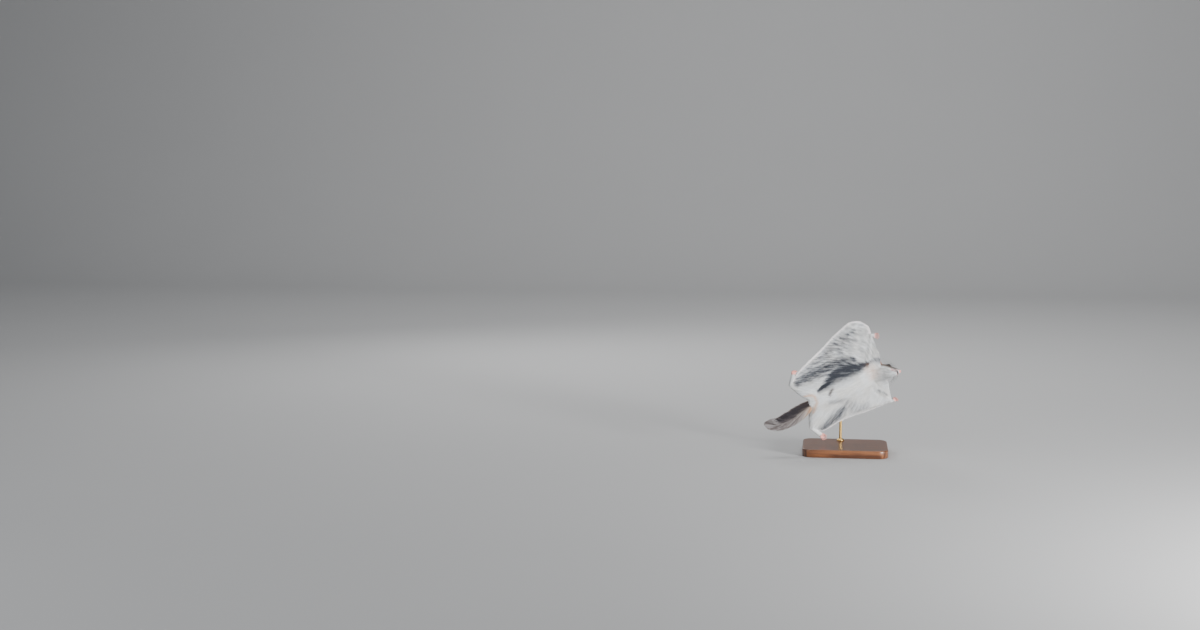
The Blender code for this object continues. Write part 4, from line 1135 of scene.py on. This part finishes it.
def tuft_sizes(roots, weights, from_edge, over, draw):
    """Length, width and lift of each tuft, short on the face, round the eyes and at a sheet's edge."""
    sizes = weights @ np.array([COAT[part][2:] for part in PARTS])
    along = head_spots(roots)[:, 0]
    headed = ramp(share_of(weights, "head"), 0.3, 0.8)
    shorter = 1.0 - 0.58 * headed * ramp(along, 6.0, 34.0) + 0.8 * headed * (1 - ramp(along, -4.0, 13.0))
    for gap in gaps_to_eyes(roots):
        shorter = shorter * (0.45 + 0.55 * ramp(gap, *EYE_HAIR))
    lengths = sizes[:, 0] * shorter * draw.uniform(0.75, 1.2, len(roots))
    widths = sizes[:, 1] * (1.0 - 0.35 * headed * ramp(along, *MUZZLE)) * draw.uniform(0.8, 1.2, len(roots))
    lifts = sizes[:, 2] * draw.uniform(0.5, 1.4, len(roots))
    lengths = lengths * (1 - (0.45 + 0.25 * over) * (1 - ramp(from_edge, 1.5, 7.0)))
    kept_in = over & (share_of(weights, "wing", "web") > 0.3)
    return np.where(kept_in, np.minimum(lengths, 0.6 * from_edge + 0.7), lengths), widths, lifts


def coat_regions(roots, weights, over):
    """Name, slot and tufts of each piece of the coat."""
    names = np.array(PARTS)[np.argmax(weights, axis=1)]
    left = roots[:, 1] > 0
    body = np.isin(names, ("torso", "neck"))
    head = np.isin(names, HEAD_PARTS)
    crown = head & (head_spots(roots)[:, 2] > MOUTH_HEIGHT) & left
    regions = [
        ("coat_body_under", "body_coat", body & ~over),
        ("coat_body_back", "body_coat", body & over),
        ("coat_legs", "body_coat", np.isin(names, ("foreleg", "hindleg", "foot", "tail"))),
        ("coat_head", "head_coat", head & ~crown),
        ("coat_crown_left", "head_coat", crown),
    ]
    for side_name, here in (("left", left), ("right", ~left)):
        sheets = np.isin(names, ("wing", "web")) & here
        regions.append((f"coat_wing_{side_name}_under", "membrane_coat", sheets & ~over))
        regions.append((f"coat_wing_{side_name}_back", "membrane_coat", sheets & over))
    return regions


def make_coat(skin, finish):
    """Tufts all over the skin, in one piece for each region and face."""
    draw = np.random.default_rng(SEED)
    each = skin.weights @ np.array([COAT[part][1] for part in PARTS])
    each = each * (1 - ramp(bare_share(skin.points, skin.soft_normals, skin.weights), 0.3, 0.7))
    each = each * (1 - ramp(share_of(skin.weights, "tail"), 0.6, 0.95))
    at = skin.scatter(each[skin.triangles].mean(axis=1), draw)
    roots, normals, weights = at(skin.points), unit(at(skin.soft_normals)), at(skin.weights)
    lies = lie_of(roots, normals, weights)
    tips, bases = markings_and_painted_shade(roots, normals, weights, lies, at(skin.rim))
    over = upper_side(roots, normals) > 0
    lengths, widths, lifts = tuft_sizes(roots, weights, at(skin.edge_gap), over, draw)
    pulls, numbers = clump_pulls(roots, normals, draw)
    pulls = pulls * np.minimum(1.0, lengths / 4.0)[:, None]
    lean = np.random.default_rng(SEED + 5).normal(0.0, 0.09, numbers.max() + 1)[numbers]
    lean = lean + draw.normal(0.0, 0.06, len(roots))
    lies = unit(lies + lean[:, None] * unit(np.cross(normals, lies)))
    tree = BVHTree.FromPolygons(skin.points.tolist(), skin.triangles.tolist())
    for name, slot, here in coat_regions(roots, weights, over):
        bands = BODY_BANDS if name.startswith("coat_body") else FINE_BANDS
        shape = [values[here] for values in (roots, normals, lies, lengths, widths, lifts, pulls)]
        points = grow_tufts(*shape, bands, tree)
        places = coat_uv(roots[here], normals[here], weights[here])
        colours = tips[here], bases[here]
        coat_piece(name, slot, finish, draw, points, colours, places, normals[here], lies[here])


def edge_gap(points):
    """Distance from the free edges of the wings."""
    nearest = np.full(len(points), 1e9)
    for side in (LEFT, RIGHT):
        outline = [on_side(spot, side) for spot in LIMBS[side]["wing_edge"]]
        outline = smooth_path([limb_spot(side, "wrist"), *outline, limb_spot(side, "ankle")], 160)
        for start in range(0, len(outline), 8):
            gaps = np.linalg.norm(points[:, None] - outline[None, start : start + 8], axis=2).min(axis=1)
            nearest = np.minimum(nearest, gaps)
    return nearest


def make_fringe(skin, finish):
    """Short tufts that stand off the free edges of the membranes."""
    draw = np.random.default_rng(SEED + 20)
    per_face = skin.near_edge(2.0, 3.6)[skin.triangles].mean(axis=1)
    at = skin.scatter(per_face * FRINGE_TUFTS / (skin.areas * per_face).sum(), draw)
    roots, outs, weights = at(skin.points), unit(at(skin.soft_normals)), at(skin.weights)
    count = len(roots)
    way = np.column_stack((-0.55 * np.ones(count), 0.85 * np.sign(roots[:, 1]), np.zeros(count)))
    way -= 0.8 * dots(way, outs)[:, None] * outs * (np.abs(outs[:, 2:3]) > 0.5)
    lies = unit(way + draw.normal(0.0, 0.08, (count, 3)))
    up = upper_side(roots, outs)
    normals = unit(along_surface(np.where(up > 0, 1.0, -1.0)[:, None] * sheet_up(roots), lies))
    dark = 0.30 * (up > 0) * ramp(up + draw.normal(0.0, 0.15, count), 0.3, 0.7)
    comb = ramp(noise(roots, SEED + 21, 7.0), -1.2, 1.2)
    lengths = draw.uniform(1.7, 2.7, count) * (0.75 + 0.5 * comb)
    widths = draw.uniform(0.28, 0.42, count)
    lifts = draw.uniform(-0.05, 0.08, count)
    tips = mingled(np.tile(RIM_WHITE, (count, 1)), BACK_GREY, dark)
    points = grow_tufts(roots, normals, lies, lengths, widths, lifts, 0.0, BODY_BANDS)
    places = coat_uv(roots, outs, weights)
    colours = tips, 0.9 * tips
    coat_piece("coat_fringe", "membrane_coat", finish, draw, points, colours, places, normals, lies)


def tail_colours(face, start, side, spread_to, spots, draw):
    """Colour of the tail's locks on one face, with a painted cast shadow over one half of the under side."""
    below = face < 0
    patches = noise(spots, SEED + 33, 9.0)
    tips = np.tile(TAIL_UNDER if below else TAIL_TOP, (len(start), 1))
    tips = blend(tips, TAIL_OUTER, 0.9 * ramp(start + 0.25 * spread_to, 0.05, 0.55) * below)
    tips = blend(tips, TAIL_TIP, ramp(start, 0.45, 0.9) * (0.25 if below else 0.55))
    tips = mingled(tips, WHITE if below else TAIL_TIP, 0.30 * ramp(patches, 0.0, 1.6))
    tips = mingled(tips, TAIL_TIP, 0.35 * ramp(-patches, 0.2, 1.4))
    if below:
        tips = blend(tips, BUFF, 0.5 * np.exp(-((start / 0.10) ** 2)))
        # Painted cast shadow over one half of the under side, fading before the tip
        edge = -side * spread_to + 0.22 * np.tanh(patches) + draw.normal(0.0, 0.08, len(start))
        shaded = ramp(edge, -0.10, 0.50) * (1 - ramp(start + 0.10 * np.tanh(patches), 0.52, 0.84))
        tips = mingled(tips, TAIL_SHADED, 0.92 * shaded)
    return tips, 0.55 * tips + 0.15 * SLATE


def make_tail_coat(face, finish):
    """Locks that spread from the core to both sides and lie flat, on one face of the tail."""
    draw = np.random.default_rng(SEED + 30 + face)
    count = TAIL_LOCKS
    start = draw.uniform(-0.02, 0.90, count)
    side = np.where(draw.uniform(size=count) > 0.5, 1.0, -1.0)
    spread_to = draw.uniform(0.0, 1.0, count) ** 0.75
    reach = 0.20 + 0.08 * draw.uniform(size=count) + 0.06 * (1 - spread_to)
    reach = np.minimum(reach, TAIL_TIP_END - start - 0.06 * draw.uniform(size=count) - 0.10 * spread_to**2)
    layer = draw.uniform(0.10, 1.0, count) * (1 - 0.55 * spread_to)
    width = draw.uniform(0.55, 0.85, count)
    lean = draw.normal(0.0, 0.05, count)
    points = np.empty((count, 3 * TAIL_BANDS + 1, 3))
    for band in range(TAIL_BANDS + 1):
        t = band / TAIL_BANDS
        share = start + reach * t
        centre, _, across, above, half_width, height = tail_spots(share)
        aside = side * spread_to * (0.10 + 0.98 * t**0.85 - 0.06 * t) + lean * t
        fade = 1.0 - 0.30 * ramp(share, 1.0, 1.16)
        lift = face * height * (0.30 + 0.62 * layer) * (1 - 0.55 * t * spread_to) * (1 - 0.25 * t)
        middle = centre + (aside * half_width * fade)[:, None] * across + lift[:, None] * above
        size = (width * (0.65 + 1.15 * t - 1.55 * t * t))[:, None]
        set_ring(points, band, TAIL_BANDS, middle, -0.5 * size * face * across, 0.4 * size * face * above)
    colours = tail_colours(face, start, side, spread_to, points[:, 3], draw)
    places = np.column_stack((start, side * (0.1 + spread_to)))
    name = "coat_tail_back" if face > 0 else "coat_tail_under"
    _, behind, _, above, _, _ = tail_spots(start)
    coat_piece(name, "tail_coat", finish, draw, points, colours, places, face * above, behind)


# Materials
def put(node, **values):
    """Sets the inputs of a node by name, with an underscore for each space."""
    for name, value in values.items():
        node.inputs[name.replace("_", " ")].default_value = value
    return node


class Finish:
    """A Principled material, and short ways to build it up."""

    def __init__(self, name, **values):
        self.material = bpy.data.materials.new(name)
        self.material.use_nodes = True
        self.tree = self.material.node_tree
        self.shader = put(self.tree.nodes["Principled BSDF"], **values)

    def add(self, kind, **settings):
        node = self.tree.nodes.new(kind)
        for name, value in settings.items():
            setattr(node, name, value)
        return node

    def link(self, output, node, socket):
        self.tree.links.new(output, node.inputs[socket])

    def flat(self, colour):
        base = self.add("ShaderNodeRGB")
        base.outputs[0].default_value = (*colour, 1.0)
        return base.outputs[0]

    def stretched(self, vector, scale):
        """A vector with its axes scaled, to draw a pattern out."""
        stretch = put(self.add("ShaderNodeMapping"), Scale=scale)
        self.link(vector, stretch, "Vector")
        return stretch.outputs["Vector"]

    def object_place(self):
        return self.add("ShaderNodeTexCoord").outputs["Object"]

    def noise(self, vector, scale, detail=3.0):
        texture = put(self.add("ShaderNodeTexNoise"), Scale=scale, Detail=detail)
        self.link(vector, texture, "Vector")
        return texture.outputs["Fac"]

    def colour(self, colour, factor, low, high):
        """Gives the shader a colour times a value that runs from low to high with the factor."""
        value = put(self.add("ShaderNodeMapRange"), To_Min=low, To_Max=high)
        self.link(factor, value, "Value")
        mix = self.add("ShaderNodeVectorMath", operation="SCALE")
        self.link(colour, mix, 0)
        self.link(value.outputs["Result"], mix, "Scale")
        self.link(mix.outputs["Vector"], self.shader, "Base Color")

    def bump(self, height, strength):
        bump = put(self.add("ShaderNodeBump"), Strength=strength, Distance=BUMP_DEPTH)
        self.link(height, bump, "Height")
        self.link(bump.outputs["Normal"], self.shader, "Normal")


def coat_material():
    made = Finish("coat", Roughness=0.75, Specular_IOR_Level=0.0, Subsurface_Weight=0.45)
    put(made.shader, Subsurface_Radius=(1.0, 0.9, 0.8), Subsurface_Scale=0.0012)
    tint = made.add("ShaderNodeAttribute", attribute_name="coat")
    strand = made.add("ShaderNodeUVMap", uv_map="strand")
    hairs = made.noise(made.stretched(strand.outputs["UV"], (7.0, 0.8, 1.0)), 1.0, 2.0)
    made.colour(tint.outputs["Color"], hairs, 0.72, 1.24)
    made.bump(hairs, 0.5)
    return made.material


def skin_material():
    made = Finish("skin", Roughness=0.58, Specular_IOR_Level=0.35)
    tint = made.add("ShaderNodeAttribute", attribute_name="coat")
    grain = made.noise(made.object_place(), 900.0, 4.0)
    made.colour(tint.outputs["Color"], grain, 0.82, 1.18)
    made.bump(grain, 0.35)
    return made.material


def plain_material(name, colour, roughness, grain=400.0, bump=0.15, metallic=0.0):
    """One colour, with a fine variation of tone and surface."""
    made = Finish(name, Roughness=roughness, Metallic=metallic)
    grains = made.noise(made.object_place(), grain)
    made.colour(made.flat(colour), grains, 0.85, 1.15)
    made.bump(grains, bump)
    return made.material


def floor_material():
    made = Finish("floor", Roughness=0.9, Specular_IOR_Level=0.2)
    made.colour(made.flat(FLOOR_GREY), made.noise(made.object_place(), 2.5, 2.0), 0.985, 1.015)
    return made.material


def eye_material():
    made = Finish("eye", Base_Color=EYE_BLACK, Roughness=0.05)
    put(made.shader, Coat_Weight=1.0, Coat_Roughness=0.02)
    return made.material


def wood_material():
    made = Finish("stand_wood", Roughness=0.38, Coat_Weight=0.35, Coat_Roughness=0.2)
    grain = made.stretched(made.object_place(), (0.12, 1.0, 1.0))
    rings = made.add("ShaderNodeTexWave", wave_type="BANDS", bands_direction="Y")
    put(rings, Scale=62.0, Distortion=7.0, Detail=3.0, Detail_Scale=1.3)
    made.link(grain, rings, "Vector")
    pores = made.noise(grain, 1400.0, 2.0)
    colours = made.add("ShaderNodeValToRGB")
    for element, colour in zip(colours.color_ramp.elements, (WOOD_DARK, WOOD_LIGHT)):
        element.color = (*colour, 1.0)
    made.link(rings.outputs["Fac"], colours, "Fac")
    made.colour(colours.outputs["Color"], pores, 0.75, 1.15)
    made.bump(pores, 0.12)
    return made.material


# Small pieces
def make_eyes():
    """Two glossy balls, each with a thin dark hoop round the opening of its lids."""
    gloss = eye_material()
    rim = plain_material("lid_rim", LID_DARK, 0.7, grain=1500.0)
    ahead, left, above = HEAD_AXES
    radii = np.full(3, EYE_RADIUS - 0.02)
    lift = math.sqrt(EYE_RADIUS**2 - LID_OPENING**2)
    cross = np.linspace(0.0, math.tau, 11)[:-1, None]
    for side, name in SIDE_NAMES.items():
        look = unit(EYE_LOOK[0] * ahead + side * EYE_LOOK[1] * left + EYE_LOOK[2] * above)
        across = unit(np.cross(above, look))
        up = np.cross(look, across)
        points, triangles = ball(eye_centre(side), radii, (look, across, up), 40, 56)
        piece("eyeball_" + name, to_world(points), triangles, gloss, "eye_gloss", "eye_" + name)
        rings = []
        for turn in np.linspace(0.0, math.tau, 65)[:-1]:
            out = math.cos(turn) * across * 1.04 + math.sin(turn) * up * 0.96
            middle = eye_centre(side) + (lift + 0.02) * look + (LID_OPENING + 0.22) * out
            slant = unit(unit(out) - 0.75 * look)
            thick = np.cross(slant, unit(np.cross(look, out)))
            width = LID_WIDTH * (1.0 + 0.25 * math.cos(2 * turn))
            rings.append(middle + LID_THICKNESS * np.cos(cross) * thick + width * np.sin(cross) * slant)
        points, triangles = hoop(rings)
        piece("lid_" + name, to_world(points), triangles, rim, "head_coat")


def make_nose():
    """The bare pad, with nostrils and the groove between them."""
    points, triangles = ball(in_head((NOSE_END + 0.7, 0.0, 0.3)), NOSE_PAD, HEAD_AXES, 60, 80)
    along, aside, above = head_spots(points).T
    front = along > NOSE_END + 0.7
    shift = np.zeros(len(points))
    for side in (LEFT, RIGHT):
        gap = np.hypot((aside - side * 1.35) / 0.62, (above - 0.35 + 0.35 * np.abs(aside)) / 0.42)
        shift -= NOSTRIL_DEPTH * np.exp(-(gap**2)) * front
    shift -= GROOVE_DEPTH * np.exp(-((aside / 0.22) ** 2)) * (1 - ramp(above, 0.6, 1.6)) * front
    finish = plain_material("nose_skin", NOSE_PINK, 0.42, grain=1800.0, bump=0.4)
    points = points + shift[:, None] * HEAD_AXES[0]
    piece("nose_pad", to_world(points), triangles, finish, "bare_skin", "nose")


def whisker(root, aim, length, droop, radius, steps):
    """One whisker, straight at the root and bent towards its droop."""
    t = np.linspace(0.0, 1.0, steps)[:, None]
    path = root + length * (t * aim + 0.35 * t * t * droop) * (1 - 0.15 * t)
    size = radius * (1 - 0.85 * t[:, 0])
    return tube(path, size, size, unit(np.cross(aim, droop)), 4)


def make_whiskers():
    """Rows of whiskers on the muzzle and a few above each eye."""
    draw = np.random.default_rng(SEED + 40)
    ahead, left, above = HEAD_AXES
    shapes = []
    for side in (LEFT, RIGHT):
        for row in range(4):
            for column in range(4):
                at = (38.0 - 2.0 * column, side * (4.0 + 0.75 * column), 0.8 - 1.15 * row + 0.2 * column)
                length = 15.0 + 5.0 * column + draw.uniform(-2.0, 2.0)
                aim = unit(side * left * 0.9 - ahead * (0.15 + 0.12 * column) + above * (0.35 - 0.22 * row))
                droop = unit(-0.8 * ahead - 0.35 * above + 0.15 * side * left)
                shapes.append(whisker(in_head(at), aim, length, droop, 0.10, 9))
        for index in range(3):
            root = in_head((25.5 + 0.8 * index, side * (5.4 - 0.6 * index), 11.0 - 0.4 * index))
            aim = unit(side * left * 0.5 + above * 0.8 - ahead * (0.3 - 0.2 * index))
            t = np.linspace(0.0, 1.0, 7)[:, None]
            size = 0.08 * (1 - 0.85 * t[:, 0])
            shapes.append(tube(root + 11.0 * t * aim - 3.0 * t * t * ahead, size, size, left, 4))
    points, triangles, _ = merged(shapes)
    piece("whiskers", to_world(points), triangles, plain_material("whisker", WHISKER_DARK, 0.4), "head_coat")


def make_claws(shapes):
    points, triangles, _ = merged(shapes)
    finish = plain_material("claw_horn", CLAW_HORN, 0.35, grain=1200.0)
    piece("claws", to_world(points), triangles, finish, "bare_skin")


# Stand
def make_base():
    """The wooden plate with round corners and eased edges."""
    angles = np.concatenate([np.linspace(q, q + math.pi / 2, 20) for q in np.arange(4) * math.pi / 2])
    centres = np.repeat([(1, 1), (-1, 1), (-1, -1), (1, -1)], 20, axis=0)
    middle = centres * np.array((BASE_LENGTH / 2 - BASE_CORNER, BASE_DEPTH / 2 - BASE_CORNER))
    ways = np.column_stack((np.cos(angles), np.sin(angles)))
    foot_edge = 0.6 * BASE_EDGE
    levels = [(0.0, foot_edge)]
    for turn in np.linspace(0.0, math.pi / 2, 6)[1:]:
        levels.append((foot_edge * math.sin(turn), foot_edge * (1 - math.sin(turn))))
    for turn in np.linspace(0.0, math.pi / 2, 9):
        levels.append((BASE_THICKNESS - BASE_EDGE * (1 - math.sin(turn)), BASE_EDGE * (1 - math.cos(turn))))
    levels += [(BASE_THICKNESS, inset) for inset in (4.0, 12.0, 17.0)]
    rings = []
    for height, inset in levels:
        rings.append(np.column_stack((middle + (BASE_CORNER - inset) * ways, np.full(len(ways), height))))
    points, triangles = loft(rings)
    piece("base_plate", MM * points, triangles, wood_material(), "stand_wood", "stand_base")


def make_rod():
    """The bent brass rod and its ferrule."""
    contact = to_world(BACK_CONTACT) / MM
    inner = to_world((BACK_CONTACT[0], 0.0, FLANK_HEIGHT)) / MM
    into = unit(inner - contact)
    start = np.array((*ROD_FOOT, BASE_THICKNESS + FOOT_GAP))
    meet = contact - 12.0 * into
    lead_in = meet - ROD_BEND * into
    knee = np.array((start[0], start[1], lead_in[2] - 6.0))
    course = [start, 0.5 * (start + knee), knee - 0.9 * ROD_BEND * UP, 0.75 * knee + 0.25 * lead_in]
    course += [lead_in, meet, contact, contact + 2.0 * into]
    path = smooth_path(course, 90)
    sizes = np.full(len(path), ROD_RADIUS)
    rod = tube(path, sizes, sizes, (1.0, 0.0, 0.0), 32)
    turns = math.tau * np.arange(48) / 48
    ways = np.column_stack((np.cos(turns), np.sin(turns), np.zeros(48)))
    rings = []
    for height, radius in (
        (0.0, FERRULE_RADIUS - 0.3),
        (0.3, FERRULE_RADIUS),
        (1.4, FERRULE_RADIUS),
        (1.8, FERRULE_RADIUS - 0.5),
        (2.6, FERRULE_RADIUS * 0.72),
        (FERRULE_HEIGHT, FERRULE_RADIUS * 0.52),
        (FERRULE_HEIGHT + 0.1, ROD_RADIUS),
    ):
        rings.append(start + height * UP + radius * ways)
    points, triangles, _ = merged([rod, loft(rings)])
    finish = plain_material("stand_brass", BRASS, 0.28, grain=260.0, bump=0.06, metallic=1.0)
    piece("brass_rod", MM * points, triangles, finish, "stand_brass", "stand_rod")


# Studio
def put_up(name, data, at, turn):
    """Puts a camera or a light into the scene."""
    made = bpy.data.objects.new(name, data)
    made.location = at
    made.rotation_euler = turn
    bpy.context.scene.collection.objects.link(made)
    return made


def make_camera():
    """The photo's viewing angle and framing, from far enough off to take in all of its frame."""
    data = bpy.data.cameras.new("camera")
    data.lens = CAMERA_LENS
    data.sensor_width = CAMERA_SENSOR
    data.clip_start = 0.05
    data.clip_end = 50.0
    turn = (math.radians(90.0 - CAMERA_DOWN), 0.0, math.radians(CAMERA_TURN))
    bpy.context.scene.camera = put_up("camera", data, CAMERA_AT, turn)


def make_lights():
    for name, (at, towards, size, power, colour) in LIGHTS.items():
        data = bpy.data.lights.new(name, "AREA")
        data.shape = "DISK"
        data.size = size
        data.energy = power
        data.color = colour
        way = Vector(np.array(towards) - np.array(at))
        put_up(name, data, at, way.to_track_quat("-Z", "Y").to_euler())
    world = bpy.data.worlds.new("studio")
    bpy.context.scene.world = world
    world.use_nodes = True
    put(world.node_tree.nodes["Background"], Color=SKY_COLOUR, Strength=SKY_STRENGTH)


def make_floor():
    """A plain floor that curves up into a wall far behind."""
    profile = [(-FLOOR_REACH, 0.0), (FLOOR_END, 0.0)]
    for turn in np.linspace(0.0, math.pi / 2, 13)[1:]:
        profile.append((FLOOR_END + WALL_CURVE * math.sin(turn), WALL_CURVE * (1 - math.cos(turn))))
    profile.append((FLOOR_END + WALL_CURVE, WALL_TOP))
    points = np.array([(x, y, z) for y, z in profile for x in (-FLOOR_REACH, FLOOR_REACH)])
    triangles = []
    for a in range(0, 2 * len(profile) - 2, 2):
        triangles += [(a, a + 1, a + 3), (a, a + 3, a + 2)]
    new_object("studio_floor", points, np.array(triangles), floor_material())


def main():
    make_camera()
    shapes, kinds, claws = flesh_shapes()
    skin = Skin(*build_skin(shapes, kinds))
    nodes = [*FLESH_NODES, *FOOT_NODES, "tail"]
    made = piece("skin", to_world(skin.points), skin.triangles, skin_material(), "body_coat", *nodes)
    add_colours(made.data, skin_colours(skin))
    fur = coat_material()
    make_coat(skin, fur)
    make_fringe(skin, fur)
    for face in (1, -1):
        make_tail_coat(face, fur)
    make_eyes()
    make_nose()
    make_whiskers()
    make_claws(claws)
    make_base()
    make_rod()
    make_lights()
    make_floor()


main()
